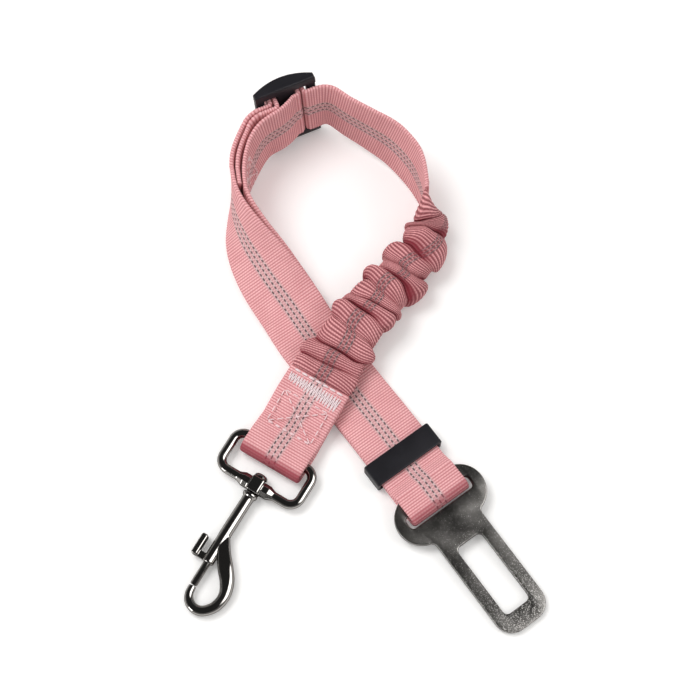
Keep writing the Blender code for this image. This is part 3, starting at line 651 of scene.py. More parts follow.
@dataclass(frozen=True)
class WeavePattern:
    """Ribbed webbing with dotted lines woven in; lengths in millimetres."""

    yarn_pitch: float = 1.15
    twist_pitch: float = 0.37
    twist_lean: float = 7.0
    twist_share: float = 0.4
    yarn_range: float = 1.2
    line_half: float = 0.3
    line_pitch: float = 1.9
    dash_share: float = 0.58
    band_edge: float = 3.1
    band_core: float = 2.6
    yarn_height: float = 0.6
    line_height: float = 0.25

    def group(self) -> NodeTree:
        """Build the weave's node group.

        Returns:
            The group: rib crests, yarn grain and the dotted lines, as masks.
        """
        group, make, ports = new_group("ribbed weave", [("Along", 0.0), ("Across", 0.0), ("Rib", 1.0)],
                                       ["Crest", "Yarn", "Band", "Dark dash", "Pale dash", "Height"])
        along, across, rib = (ports.outputs[k] for k in ("Along", "Across", "Rib"))
        turns = make.math("DIVIDE", along, rib)
        wave = make.math("COSINE", make.math("MULTIPLY", turns, 2 * math.pi))
        crest = make.math("MULTIPLY_ADD", wave, 0.5)
        crest.node.inputs[2].default_value = 0.5
        # Each row of yarn is shifted by half a yarn, like bricks.
        row = make.math("FLOOR", make.math("ADD", turns, 0.5))
        brick = make.wave(across, self.yarn_pitch, make.math("MULTIPLY", row, math.pi))
        twist = make.wave(across, self.twist_pitch, make.math("MULTIPLY", along, self.twist_lean))
        yarn = make.spread(make.math("ADD", make.math("MULTIPLY", brick, crest),
                                     make.math("MULTIPLY", twist, self.twist_share)),
                           -self.yarn_range, self.yarn_range)
        off_middle = make.math("ABSOLUTE", across)
        off_side = make.math("ABSOLUTE", make.math("SUBTRACT", off_middle, self.line_pitch))
        middle_line = make.math("LESS_THAN", off_middle, self.line_half)
        side_line = make.math("LESS_THAN", off_side, self.line_half)
        lines = make.math("ADD", middle_line, side_line, clamp=True)
        phase = make.math("FRACT", make.math("ADD", make.math("MULTIPLY", turns, 0.5),
                                             make.math("MULTIPLY", side_line, 0.5)))
        dash = make.math("LESS_THAN", phase, self.dash_share)
        make.give("Crest", crest)
        make.give("Yarn", yarn)
        make.give("Band", make.spread(off_middle, self.band_edge, self.band_core))
        make.give("Dark dash", make.math("MULTIPLY", lines, dash))
        make.give("Pale dash", make.math("MULTIPLY", lines, make.math("SUBTRACT", 1.0, dash)))
        make.give("Height", make.math("ADD", make.math("MULTIPLY", yarn, self.yarn_height),
                                      make.math("MULTIPLY", lines, self.line_height)))
        return group


@dataclass(frozen=True)
class HandlingMarks:
    """Marks of handling: broad smears and fine scratches."""

    smear_size: float = 60.0
    smear_detail: float = 5.0
    smear_range: Pair = (0.35, 0.65)
    scratch_size: float = 900.0
    scratch_detail: float = 2.0
    scratch_range: Pair = (0.52, 0.62)

    def group(self) -> NodeTree:
        """Build the marks' node group.

        Returns:
            The group: smears and scratches, as masks.
        """
        sizes = [("Smear size", self.smear_size), ("Scratch size", self.scratch_size)]
        group, make, ports = new_group("handling", sizes, ["Smear", "Scratch"])
        smear = make.noise(ports.outputs["Smear size"], self.smear_detail)
        scratch = make.noise(ports.outputs["Scratch size"], self.scratch_detail)
        make.give("Smear", make.spread(smear, *self.smear_range))
        make.give("Scratch", make.spread(scratch, *self.scratch_range))
        return group


@dataclass(frozen=True)
class Groups:
    """The shared effects."""

    weave: NodeTree
    handling: NodeTree


def start_material(name: str) -> tuple[Material, Shading]:
    """Start a material.

    Args:
        name: The material's name.

    Returns:
        The material and the means to build toward its shader.
    """
    material = bpy.data.materials.new(name)
    material.use_nodes = True
    return material, Shading(material.node_tree, material.node_tree.nodes["Principled BSDF"])


def opaque(colour: Triple, factor: float = 1.0) -> tuple[float, float, float, float]:
    """Return a colour, made lighter or darker by a factor, for a colour socket."""
    return (*(c * factor for c in colour), 1.0)


@dataclass(frozen=True)
class WovenFinish:
    """Dyed webbing with dotted lines woven in: painted light on its rib crests, painted shade in its rib
    valleys, and painted shade on its folds and in its creases.
    """

    name: str = "pink_webbing"
    # Painted light and shade: the crest colour is painted light on the rib crests, and the darker valley
    # colour is painted shade in the rib valleys.
    crest: Triple = (0.93, 0.54, 0.55)
    valley: Triple = (0.46, 0.125, 0.14)
    band: Triple = (0.56, 0.40, 0.40)
    dark: Triple = (0.135, 0.10, 0.105)
    pale: Triple = (0.66, 0.56, 0.56)
    # Colour of the painted shade on folds and in creases.
    crease: Triple = (0.30, 0.04, 0.06)
    rib: float = 1.0
    sharpness: float = 0.8
    crest_share: float = 0.72
    yarn_share: float = 0.36
    fade_size: float = 140.0
    fade_range: Pair = (0.3, 0.7)
    fade: float = 0.2
    band_share: float = 0.42
    pale_share: float = 0.6
    valley_roughness: float = 0.92
    yarn_roughness: float = 0.72
    relief_depth: float = 0.12

    def material(self, groups: Groups) -> Material:
        """Build the material.

        Args:
            groups: The shared effects.

        Returns:
            The material, which reads each point's place in the weave and its painted shade.
        """
        material, make = start_material(self.name)
        web = make.node("ShaderNodeAttribute", attribute_name="web")
        parts = make.node("ShaderNodeSeparateXYZ")
        make.link(web.outputs["Vector"], parts.inputs[0])
        weave = make.node("ShaderNodeGroup", node_tree=groups.weave)
        make.link(parts.outputs["X"], weave.inputs["Along"])
        make.link(parts.outputs["Y"], weave.inputs["Across"])
        weave.inputs["Rib"].default_value = self.rib
        # Painted light and shade on the ribs: the colour runs from the valley colour to the crest colour with
        # the rib crests, and partly with the yarn's own grain.
        crest = make.math("POWER", weave.outputs["Crest"], self.sharpness)
        lift = make.math("ADD", make.math("MULTIPLY", crest, self.crest_share),
                         make.math("MULTIPLY", weave.outputs["Yarn"], self.yarn_share), clamp=True)
        colour = make.mix(lift, opaque(self.valley), opaque(self.crest))
        fade = make.spread(make.noise(self.fade_size), *self.fade_range, 0.0, self.fade)
        colour = make.mix(fade, colour, opaque(self.valley))
        band = make.math("MULTIPLY", weave.outputs["Band"], self.band_share)
        colour = make.mix(band, colour, opaque(self.band))
        colour = make.mix(weave.outputs["Dark dash"], colour, opaque(self.dark))
        pale = make.math("MULTIPLY", weave.outputs["Pale dash"], self.pale_share)
        colour = make.mix(pale, colour, opaque(self.pale))
        # Painted shade: the web attribute's third value darkens the colour toward the crease colour on folds
        # and in creases.
        colour = make.mix(parts.outputs["Z"], colour, opaque(self.crease))
        make.give("Base Color", colour)
        make.give("Roughness", make.spread(weave.outputs["Yarn"], 0.0, 1.0, self.valley_roughness,
                                           self.yarn_roughness))
        make.give("Normal", make.bump(weave.outputs["Height"], strength=0.55, depth=self.relief_depth))
        make.give("Specular IOR Level", 0.25)
        return material


@dataclass(frozen=True)
class ThreadFinish:
    """Sewing thread, twisted."""

    name: str = "white_thread"
    colour: Triple = (0.90, 0.74, 0.76)
    shade: float = 0.78
    strand_size: float = 5200.0
    strand_detail: float = 2.0
    tint_range: Pair = (0.35, 0.65)
    gloss_range: Pair = (0.3, 0.7)
    low_roughness: float = 0.75
    high_roughness: float = 0.5

    def material(self, groups: Groups) -> Material:
        """Build the material.

        Args:
            groups: The shared effects, of which thread needs none.

        Returns:
            The thread's material.
        """
        material, make = start_material(self.name)
        strand = make.noise(self.strand_size, self.strand_detail)
        tint = make.mix(make.spread(strand, *self.tint_range), opaque(self.colour, self.shade),
                        opaque(self.colour))
        make.give("Base Color", tint)
        make.give("Roughness", make.spread(strand, *self.gloss_range, self.low_roughness,
                                           self.high_roughness))
        make.give("Sheen Weight", 0.3)
        return material


@dataclass(frozen=True)
class MouldedFinish:
    """Moulded plastic with a fine spark-eroded grain."""

    name: str = "black_acetal"
    colour: Triple = (0.010, 0.0095, 0.012)
    roughness: float = 0.36
    smear_roughness: float = 0.14
    smear_share: float = 0.5
    smear_tint: float = 2.2
    grain_size: float = 4200.0
    grain_detail: float = 3.0
    grain_depth: float = 0.04

    def material(self, groups: Groups) -> Material:
        """Build the material.

        Args:
            groups: The shared effects.

        Returns:
            The plastic's material.
        """
        material, make = start_material(self.name)
        marks = make.node("ShaderNodeGroup", node_tree=groups.handling)
        smear = marks.outputs["Smear"]
        tint = make.mix(make.math("MULTIPLY", smear, self.smear_share), opaque(self.colour),
                        opaque(self.colour, self.smear_tint))
        make.give("Base Color", tint)
        dull = self.roughness + self.smear_roughness
        make.give("Roughness", make.spread(smear, 0.0, 1.0, self.roughness, dull))
        make.give("Specular IOR Level", 0.3)
        grain = make.noise(self.grain_size, self.grain_detail)
        make.give("Normal", make.bump(grain, strength=0.25, depth=self.grain_depth))
        return material


@dataclass(frozen=True)
class PlatedFinish:
    """Plated metal: its colour, its cloudier patches, its gloss and where use has scuffed it."""

    name: str
    colour: Triple
    cloud: Triple
    roughness: float
    cloud_roughness: float
    smear_size: float
    speckle: float
    rim: float
    scuff_axis: Triple = (0.0, 0.0, 0.0)
    scuff_start: float = 0.0
    scuff_end: float = 1.0
    scuff: float = 0.0
    scuff_pull: float = 0.15
    grain_size: float = 2600.0
    grain_detail: float = 2.0
    grain_range: Pair = (0.69, 0.75)
    smear_share: float = 0.35
    smear_dull: float = 0.3
    scuffed_metal: float = 0.3

    def material(self, groups: Groups) -> Material:
        """Build the material.

        Args:
            groups: The shared effects.

        Returns:
            The metal's material, more scuffed the farther along its scuff axis.
        """
        material, make = start_material(self.name)
        marks = make.node("ShaderNodeGroup", node_tree=groups.handling)
        marks.inputs["Smear size"].default_value = self.smear_size
        along = make.node("ShaderNodeVectorMath", operation="DOT_PRODUCT")
        make.link(make.node("ShaderNodeTexCoord").outputs["Object"], along.inputs[0])
        along.inputs[1].default_value = self.scuff_axis
        scuff = make.spread(along.outputs["Value"], self.scuff_start, self.scuff_end)
        speck = make.math("MULTIPLY_ADD", scuff, self.scuff_pull)
        make.link(make.noise(self.grain_size, self.grain_detail), speck.node.inputs[2])
        grains = make.math("MULTIPLY", make.spread(speck, *self.grain_range), self.scuff)
        patches = make.math("ADD", make.math("MULTIPLY", marks.outputs["Smear"], self.smear_share),
                            make.math("MULTIPLY", marks.outputs["Scratch"], self.speckle))
        share = make.math("ADD", patches, grains, clamp=True)
        make.give("Base Color", make.mix(share, opaque(self.colour), opaque(self.cloud)))
        smear = make.math("MULTIPLY", marks.outputs["Smear"], self.smear_dull)
        dull = make.math("ADD", smear, grains, clamp=True)
        make.give("Roughness", make.spread(dull, 0.0, 1.0, self.roughness, self.cloud_roughness))
        make.give("Metallic", make.spread(grains, 0.0, 1.0, 1.0, self.scuffed_metal))
        make.give("Specular Tint", (self.rim, self.rim, self.rim, 1.0))
        return material


class Finishes:
    """Every material of the tether."""

    def __init__(self) -> None:
        """Build the materials with the shared effects."""
        groups = Groups(WeavePattern().group(), HandlingMarks().group())
        self.webbing = WovenFinish().material(groups)
        # The sleeve's crest colour is a painted highlight on its rib crests, its dark valley colour painted
        # shade in its rib valleys, and its crease colour painted shade in its creases.
        self.sleeve = WovenFinish(
            "pink_sleeve", crest=(0.93, 0.45, 0.46), valley=(0.15, 0.013, 0.022), band=(0.22, 0.07, 0.075),
            pale=(0.48, 0.33, 0.34), crease=(0.22, 0.022, 0.036), sharpness=1.6).material(groups)
        self.thread = ThreadFinish().material(groups)
        self.dyed_thread = ThreadFinish("dyed_thread", (0.93, 0.66, 0.68)).material(groups)
        self.plastic = MouldedFinish().material(groups)
        self.steel = PlatedFinish(
            "nickel_plated_steel", colour=(0.15, 0.145, 0.138), cloud=(0.62, 0.60, 0.575), roughness=0.31,
            cloud_roughness=0.6, smear_size=70.0, speckle=0.1, rim=0.6,
            scuff_axis=(0.5909, -0.8044, -0.0609), scuff_start=0.062, scuff_end=0.112,
            scuff=1.0).material(groups)
        self.nickel = PlatedFinish(
            "bright_nickel", colour=(0.38, 0.365, 0.35), cloud=(0.31, 0.295, 0.28), roughness=0.08,
            cloud_roughness=0.16, smear_size=200.0, speckle=0.12, rim=0.12).material(groups)


def dress(item: Object, material: Material, slot: str, *nodes: str) -> Object:
    """Give a piece its finish and let it stand for CAD nodes.

    Args:
        item: The piece.
        material: Its finish.
        slot: The finish's slot; not used.
        nodes: The CAD nodes that it stands for.

    Returns:
        The piece.
    """
    item.data.materials.clear()
    item.data.materials.append(material)
    if nodes:
        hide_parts(*nodes)
    LOG.info("%s: %d faces", item.name, len(item.data.polygons))
    return item


@dataclass(frozen=True)
class Layout:
    """Where the sub-assemblies lie, and the clearances they share."""

    shift: Triple = (-6.88, 4.43, 0.0)
    gap: float = 0.3
    web_width: float = 25.0
    web_thick: float = 1.8
    keeper_wall: float = 1.2
    tongue_fold: Triple = (34.9, -63.1, 0.0)
    tongue_heading: float = -53.7
    hook_fold: Triple = (-28.1, -47.8, 0.0)
    hook_heading: float = -121.0
    slide_place: Triple = (-22.3, 89.8, 0.0)
    slide_heading: float = 23.8
    slide_roll: float = 98.0

    @property
    def pitch(self) -> float:
        """Distance between the middles of two layers that lie together."""
        return self.web_thick + self.gap

    @property
    def half_web(self) -> float:
        """Half the webbing's width."""
        return self.web_width / 2

    @property
    def keeper_lift(self) -> float:
        """Height of the strap's underside inside the keeper."""
        return self.keeper_wall + self.gap

    @property
    def stack(self) -> float:
        """Thickness of two layers that lie together."""
        return self.pitch + self.web_thick

    @property
    def crossing_lift(self) -> float:
        """Height at which the hook end passes over the tongue's strap."""
        return self.keeper_lift / 2 + self.stack + 2 * self.gap

    def spot(self, point: Triple) -> Array:
        """Move a point on the table to the row frame."""
        return np.array(point) + np.array(self.shift)

    def line_matrix(self, point: Array, degrees: float, pitch: float = 0.0) -> Matrix:
        """Frame whose X runs along a heading, in metres, tipped down by a pitch."""
        return (Matrix.Translation(Vector(point * MM)) @ Matrix.Rotation(math.radians(degrees), 4, "Z")
                @ Matrix.Rotation(pitch, 4, "Y"))

    def stack_height(self, roll: Array, spread: Array) -> Array:
        """Height of a rolled strap's middle above its lowest edge."""
        return (self.half_web * np.abs(np.sin(roll))
                + (spread * self.pitch + self.web_thick) / 2 * np.abs(np.cos(roll)))


@dataclass
class Adjuster:
    """Three-bar adjuster: two arched rails and three bars."""

    layout: Layout
    finishes: Finishes
    centre_bar: float = 7.0
    end_bar: float = 3.6
    bar_thick: float = 3.0
    rail_depth: float = 4.0
    rail_end_rise: float = 1.0
    rail_mid_rise: float = 4.4
    rail_steps: int = 41
    bar_sink: float = 0.02
    side_room: float = 0.5
    edge: float = 0.8

    @property
    def leg_in(self) -> float:
        """Place of the sewn loop's legs beside the centre bar."""
        return self.centre_bar / 2 + self.layout.gap + self.layout.web_thick / 2

    @property
    def leg_out(self) -> float:
        """Place of the outer strap's legs."""
        return self.leg_in + self.layout.pitch

    @property
    def face_1(self) -> float:
        """Height of the first layer off the bars."""
        return self.bar_thick / 2 + self.layout.gap + self.layout.web_thick / 2

    @property
    def face_2(self) -> float:
        """Height of the second layer off the bars."""
        return self.face_1 + self.layout.pitch

    @property
    def slot_end(self) -> float:
        """Far edge of each slot."""
        return self.leg_out + self.layout.web_thick / 2 + 3 * self.layout.gap

    @property
    def half_length(self) -> float:
        """Half the adjuster's length along the strap."""
        return self.slot_end + self.end_bar

    @property
    def half_height(self) -> float:
        """Half the adjuster's width across the strap."""
        return self.layout.half_web + self.side_room + self.rail_depth

    def axes(self) -> tuple[Array, Array, Array, Array]:
        """Return the centre and the along, outward and across directions.

        Returns:
            The centre and the three directions.
        """
        lay = self.layout
        along = heading(lay.slide_heading)
        roll = math.radians(lay.slide_roll)
        across = np.cross(along, UP) * math.cos(roll) + UP * math.sin(roll)
        outward = np.cross(across, along)
        lift = self.half_height * math.sin(roll) + self.rail_mid_rise * abs(math.cos(roll))
        return lay.spot(lay.slide_place) + UP * lift, along, outward, across

    def build(self) -> None:
        """Mould the adjuster."""
        centre, along, outward, across = self.axes()
        frame_matrix = Matrix((along, outward, across)).transposed().to_4x4()
        frame_matrix.translation = Vector(centre * MM)
        back = -self.bar_thick / 2
        rise = self.rail_mid_rise - self.rail_end_rise
        outline = [(-self.half_length, back), (self.half_length, back)]
        for share in np.linspace(1, -1, self.rail_steps):
            outline.append((self.half_length * share, self.rail_end_rise + rise * (1 - share * share)))
        reach = self.half_height - self.rail_depth / 2
        rails = []
        for side in (-1, 1):
            rails.append(pressed_plate("rail", [outline], self.rail_depth, self.edge))
            place(rails[-1], Matrix.Translation((0, 0, side * reach * MM)))
        body = rails[0]
        combine(body, rails[1])
        bars = ((-self.half_length, -self.slot_end), (-self.centre_bar / 2, self.centre_bar / 2),
                (self.slot_end, self.half_length))
        for low, high in bars:
            bar = block("bar", (low, back + self.bar_sink, -reach), (high, -back, reach), self.edge)
            combine(body, bar)
        body.name = "adjuster"
        shade_by_angle(body)
        place(body, frame_matrix)
        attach(dress(body, self.finishes.plastic, "black_acetal", "tri_glide"), "adjuster")


@dataclass
class Tongue:
    """Stamped seat-belt tongue on the strap's end."""

    layout: Layout
    finishes: Finishes
    thick: float = 2.4
    head_half_span: float = 18.5
    lobe_radius: float = 9.8
    bar: float = 6.5
    slot: float = 4.9
    slot_side_room: float = 1.5
    tab_width: float = 20.6
    length: float = 62.4
    tip_corner: float = 7.0
    window_width: float = 11.0
    window_length: float = 29.2
    window_corner: float = 2.0
    tip_bar: float = 7.2
    fold_slack: float = 2.6
    neck_run: float = 1.6
    neck_turn: float = 0.5
    neck_rise: float = 0.25
    lobe_start: float = 0.1
    edge: float = 0.55

    @property
    def slot_start(self) -> float:
        """Near edge of the slot, from the strap's fold."""
        return -(self.layout.web_thick + self.fold_slack)

    @property
    def head_top(self) -> float:
        """Top edge of the head, from the strap's fold."""
        return self.slot_start - self.bar

    @property
    def pivot(self) -> float:
        """Middle of the bar, from the strap's fold."""
        return self.slot_start - self.bar / 2

    @property
    def pivot_height(self) -> float:
        """Height of the bar's middle."""
        return self.layout.keeper_lift + self.layout.pitch + self.thick / 2

    def outline(self) -> Outline:
        """Return the plate's outline from the pivot.

        Returns:
            The outline's points.
        """
        tip = self.head_top + self.length
        half = self.tab_width / 2
        centre_y = self.head_half_span - self.lobe_radius
        centre_x = self.head_top + self.lobe_radius
        meet = math.acos((half - centre_y) / self.lobe_radius)
        side = []
        for turn in np.linspace(0, math.pi / 2, 12):
            side.append((tip - self.tip_corner + self.tip_corner * math.cos(turn),
                         half - self.tip_corner + self.tip_corner * math.sin(turn)))
        first = math.pi / 2 - meet
        corner_x = centre_x + self.lobe_radius * math.cos(first)
        side.append((corner_x + self.neck_run, half))
        side.append((corner_x + self.neck_turn, half + self.neck_rise))
        for turn in np.linspace(first + self.lobe_start, math.pi, 28):
            side.append((centre_x + self.lobe_radius * math.cos(turn),
                         centre_y + self.lobe_radius * math.sin(turn)))
        whole = side + [(x, -y) for x, y in reversed(side)]
        return [(x - self.pivot, y) for x, y in whole]

    def opening(self, low: float, high: float, half: float, corner: float) -> Outline:
        """Return a rounded opening's outline from the pivot, wound the other way.

        Args:
            low: Its near edge, from the fold.
            high: Its far edge, from the fold.
            half: Half its width.
            corner: Radius of its corners.

        Returns:
            The outline's points.
        """
        points = []
        for cx, cy, start in ((high - corner, half - corner, 0), (low + corner, half - corner, 90),
                              (low + corner, -half + corner, 180), (high - corner, -half + corner, 270)):
            for turn in np.radians(np.linspace(start, start + 90, 8)):
                points.append((cx + corner * math.cos(turn) - self.pivot, cy + corner * math.sin(turn)))
        return points[::-1]

    def build(self) -> None:
        """Stamp the plate and plate it."""
        lay = self.layout
        tip = self.head_top + self.length
        window_end = tip - self.tip_bar
        slot = self.opening(self.slot_start, self.slot_start + self.slot,
                            lay.half_web + self.slot_side_room, self.slot / 3)
        window = self.opening(window_end - self.window_length, window_end, self.window_width / 2,
                              self.window_corner)
        plate = pressed_plate("tongue_plate", [self.outline(), slot, window], self.thick, self.edge)
        sink = math.asin((self.pivot_height - self.thick / 2) / (tip - self.pivot))
        spot = (lay.spot(lay.tongue_fold) + heading(lay.tongue_heading) * self.pivot
                + UP * self.pivot_height)
        place(plate, lay.line_matrix(spot, lay.tongue_heading, sink))
        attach(dress(plate, self.finishes.steel, "nickel_plated_steel", "seat_belt_tongue"), "tongue")


@dataclass
class Keeper:
    """Moulded loop that holds the doubled strap together."""

    layout: Layout
    finishes: Finishes
    length: float = 9.0
    from_fold: float = 23.7
    side_room: float = 0.7
    corner: float = 1.0
    inner_corner: float = 0.4
    edge: float = 0.5

    def build(self) -> None:
        """Mould the loop as a ring pressed along the strap."""
        lay = self.layout
        wall = lay.keeper_wall
        half = lay.half_web + self.side_room
        top = lay.keeper_lift + lay.stack + lay.gap
        outer = rounded_path([(0.0, 0.0), (half + wall, 0.0), (half + wall, top + wall),
                              (-half - wall, top + wall), (-half - wall, 0.0), (0.0, 0.0)],
                             self.corner, 6)[:-1]
        inner = rounded_path([(0.0, wall), (-half, wall), (-half, top), (half, top), (half, wall),
                              (0.0, wall)], self.inner_corner, 4)[:-1]
        ring = pressed_plate("keeper", [outer.tolist(), inner.tolist()], self.length, self.edge)
        spot = lay.spot(lay.tongue_fold) - heading(lay.tongue_heading) * self.from_fold
        turn = Matrix(((0, 0, 1, 0), (1, 0, 0, 0), (0, 1, 0, 0), (0, 0, 0, 1)))
        place(ring, lay.line_matrix(spot, lay.tongue_heading) @ turn)
        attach(dress(ring, self.finishes.plastic, "black_acetal", "keeper_loop"), "keeper")


@dataclass
class Snap:
    """Swivel trigger snap, from the eye's bar along its barrel."""

    layout: Layout
    finishes: Finishes
    eye_wire: float = 1.75
    eye_inner_width: float = 29.2
    eye_depth: float = 15.0
    eye_corner: float = 4.0
    eye_from_fold: float = 6.6
    wings: Profile = ((-8.2, 1.6), (-6.8, 2.1), (-5.2, 2.75), (5.2, 2.75), (6.8, 2.1), (8.2, 1.6))
    wing_sides: int = 8
    boss_height: float = 6.8
    boss_length: float = 6.0
    boss_half: float = 2.5
    boss_edge: float = 0.8
    bore_past: float = 4.0
    rivet_radius: float = 1.5
    rivet_head: Profile = (
        (-1.6, 0.35), (-1.55, 1.1), (-1.3, 1.9), (-0.8, 2.45), (-0.25, 2.6), (0.0, 2.5))
    rivet_past: float = 0.6
    rivet_tip: float = 0.4
    square_step: float = 0.02
    fine_gap: float = 0.2
    overcut: float = 0.3
    collar: Profile = ((0.0, 2.2), (0.25, 2.75), (0.8, 2.9), (1.4, 2.75), (1.9, 2.25))
    barrel_end: float = 47.8
    barrel_radius: float = 2.3
    waist: Profile = ((2.8, 0.12), (11.8, 0.05))
    muzzle: Profile = ((-2.2, 0.0), (-0.5, 0.0), (0.0, 0.35))
    arm: tuple[Triple, ...] = (
        (36.5, 0.6, 1.7), (41.5, 3.2, 2.4), (46.2, 6.8, 2.8), (50.0, 9.8, 2.6), (54.6, 11.6, 2.2),
        (59.4, 10.9, 2.0), (62.8, 8.2, 1.9), (63.8, 5.0, 1.8), (62.6, 2.0, 1.7), (60.2, 0.4, 1.55),
        (57.25, 0.0, 1.4))
    arm_steps: int = 10
    arm_flat_end: float = 54.0
    arm_flat_run: float = 8.0
    arm_flatness: float = 0.5
    bolt_radius: float = 1.4
    bolt_end: float = 56.9
    bolt_length: float = 21.0
    bolt_travel: float = 8.0
    bolt_heel: float = 0.3
    bolt_nose: Profile = ((-0.5, 0.0), (-0.15, 0.18), (0.0, 0.5))
    spring_room: float = 12.0
    spring_wire: float = 0.2
    spring_turns: int = 7
    spring_steps: int = 24
    spring_sides: int = 8
    trigger_neck: float = 2.6
    trigger_stem: float = 1.6
    neck_reach: float = 5.6
    neck_edge: float = 0.2
    slot_reach: float = 5.0
    seat_reach: float = 4.0
    thumb_length: float = 8.4
    thumb_top: float = 7.0
    thumb_foot: float = 4.6
    thumb_half: float = 2.1
    thumb_edge: float = 0.7
    eye_melt: tuple[float, int] = (0.18, 4)
    hook_melt: tuple[float, int] = (0.17, 4)
    trigger_melt: tuple[float, int] = (0.15, 3)
    cast_angle: float = 50.0

    def matrix(self) -> Matrix:
        """Return the frame at the eye's bar.

        Returns:
            The frame, with X along the barrel, which sinks until the arm rests on the table.
        """
        lay = self.layout
        height = lay.web_thick + lay.gap + self.eye_wire
        thickest = max(self.arm, key=lambda p: p[2])
        sink = math.atan2(height - thickest[2] - lay.gap / 4, thickest[0])
        spot = lay.spot(lay.hook_fold) - heading(lay.hook_heading) * self.eye_from_fold + UP * height
        return lay.line_matrix(spot, lay.hook_heading, sink)

    @property
    def boss_start(self) -> float:
        """Near face of the boss."""
        return self.eye_depth - self.boss_length / 2

    @property
    def boss_end(self) -> float:
        """Far face of the boss."""
        return self.boss_start + self.boss_length

    @property
    def bolt_start(self) -> float:
        """Inner end of the bolt."""
        return self.bolt_end - self.bolt_length

    def build(self) -> None:
        """Cast, turn and plate the snap's pieces."""
        self.build_eye()
        self.build_hook()
        self.build_rivet()
        self.build_bolt()
        self.build_trigger()
        self.build_spring()

    def drill(self, item: Object, low: float, high: float, radius: float) -> None:
        """Cut a round hole along the barrel's axis."""
        combine(item, lathe("bore", [(low, radius), (high, radius)]), "DIFFERENCE")

    def build_eye(self) -> None:
        """Cast the eye with its boss."""
        half = self.eye_inner_width / 2 + self.eye_wire
        flat = rounded_path([(self.eye_depth, 0.0), (self.eye_depth, half), (0.0, half), (0.0, -half),
                             (self.eye_depth, -half), (self.eye_depth, 0.0)], self.eye_corner, 12)[:-1]
        line = np.column_stack([flat, np.zeros(len(flat))])
        eye = tube("eye", line, np.full(len(line), self.eye_wire), 28, UP, cyclic=True)
        wings = lathe("wings", self.wings, self.wing_sides)
        place(wings, Matrix.Translation((self.eye_depth * MM, 0, 0)) @ Matrix.Rotation(math.pi / 2, 4, "Z")
              @ Matrix.Rotation(math.pi / self.wing_sides, 4, "X"))
        combine(eye, wings)
        high = self.boss_height / 2
        combine(eye, block("knuckle", (self.boss_start, -self.boss_half, -high),
                           (self.boss_end, self.boss_half, high), self.boss_edge))
        cast(eye, *self.eye_melt)
        self.drill(eye, self.boss_start - self.bore_past, self.boss_end + self.bore_past,
                   self.rivet_radius + self.fine_gap)
        shade_by_angle(eye, self.cast_angle)
        place(eye, self.matrix())
        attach(dress(eye, self.finishes.nickel, "bright_nickel", "swivel_eye"), "eye")

    def build_hook(self) -> None:
        """Cast the hook body with its barrel."""
        top = self.boss_end + self.fine_gap
        r = self.barrel_radius
        profile = [(top + x, radius) for x, radius in self.collar]
        profile += [(top + x, r - depth) for x, depth in self.waist]
        profile += [(self.barrel_end + x, r - depth) for x, depth in self.muzzle]
        hook = lathe("hook", profile, 48)
        arm = smooth_curve(list(self.arm), self.arm_steps)
        line = np.column_stack([arm[:, :2], np.zeros(len(arm))])
        flatness = np.clip((self.arm_flat_end - arm[:, 0]) / self.arm_flat_run, 0.0, 1.0)
        # Only the first half of the arm, beside the barrel, is flattened.
        flatness *= np.arange(len(arm)) < len(arm) / 2
        combine(hook, tube("arm", line, arm[:, 2], 48, UP, roundness=1.0 - self.arm_flatness * flatness))
        cast(hook, *self.hook_melt)
        self.drill(hook, self.bolt_start - self.spring_room - self.layout.gap,
                   self.barrel_end + self.overcut, self.bolt_radius + self.fine_gap)
        neck_start = self.barrel_end - self.trigger_neck - self.fine_gap
        slot_half = self.trigger_stem / 2 + self.fine_gap
        slot = block("slot", (neck_start - self.bolt_travel - self.overcut, -self.slot_reach, -slot_half),
                     (self.barrel_end + self.overcut, 0.0, slot_half))
        combine(hook, slot, "DIFFERENCE")
        shade_by_angle(hook, self.cast_angle)
        place(hook, self.matrix())
        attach(dress(hook, self.finishes.nickel, "bright_nickel", "hook_body"), "hook")

    def build_rivet(self) -> None:
        """Turn the rivet that the hook swivels on."""
        start = self.boss_start - self.fine_gap
        end = self.boss_end + self.fine_gap + self.rivet_past
        profile = [(start + x, radius) for x, radius in self.rivet_head]
        profile += [(start + self.square_step, self.rivet_radius), (end, self.rivet_radius),
                    (end + self.square_step, self.rivet_tip)]
        rivet = lathe("rivet", profile, 36)
        shade_by_angle(rivet)
        place(rivet, self.matrix())
        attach(dress(rivet, self.finishes.nickel, "bright_nickel", "swivel_rivet"), "hook")

    def neck(self) -> tuple[float, float, float, float]:
        """Return the trigger neck's start and end, its half-thickness and how deep it seats in the bolt."""
        end = self.barrel_end - self.fine_gap
        return end - self.trigger_neck, end, self.trigger_stem / 2, self.bolt_radius / 3

    def build_bolt(self) -> None:
        """Turn the bolt and cut the seat for its trigger."""
        r = self.bolt_radius
        profile = [(self.bolt_start, r - self.bolt_heel), (self.bolt_start + self.bolt_heel, r)]
        profile += [(self.bolt_end + x, r - depth) for x, depth in self.bolt_nose]
        bolt = lathe("spring_bolt", profile, 32)
        start, end, stem, seat = self.neck()
        room = self.fine_gap
        seat_cut = block("seat", (start - room, -self.seat_reach, -stem - room),
                         (end + room, -seat + room, stem + room))
        combine(bolt, seat_cut, "DIFFERENCE")
        shade_by_angle(bolt)
        place(bolt, self.matrix())
        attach(dress(bolt, self.finishes.nickel, "bright_nickel", "bolt"), "trigger")

    def build_trigger(self) -> None:
        """Cast the thumb trigger."""
        start, end, stem, seat = self.neck()
        trigger = block("thumb_piece", (end - self.thumb_length, -self.thumb_top, -self.thumb_half),
                        (end, -self.thumb_foot, self.thumb_half), self.thumb_edge)
        combine(trigger, block("neck", (start, -self.neck_reach, -stem), (end, -seat, stem), self.neck_edge))
        cast(trigger, *self.trigger_melt)
        place(trigger, self.matrix())
        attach(dress(trigger, self.finishes.nickel, "bright_nickel", "thumb_trigger"), "trigger")

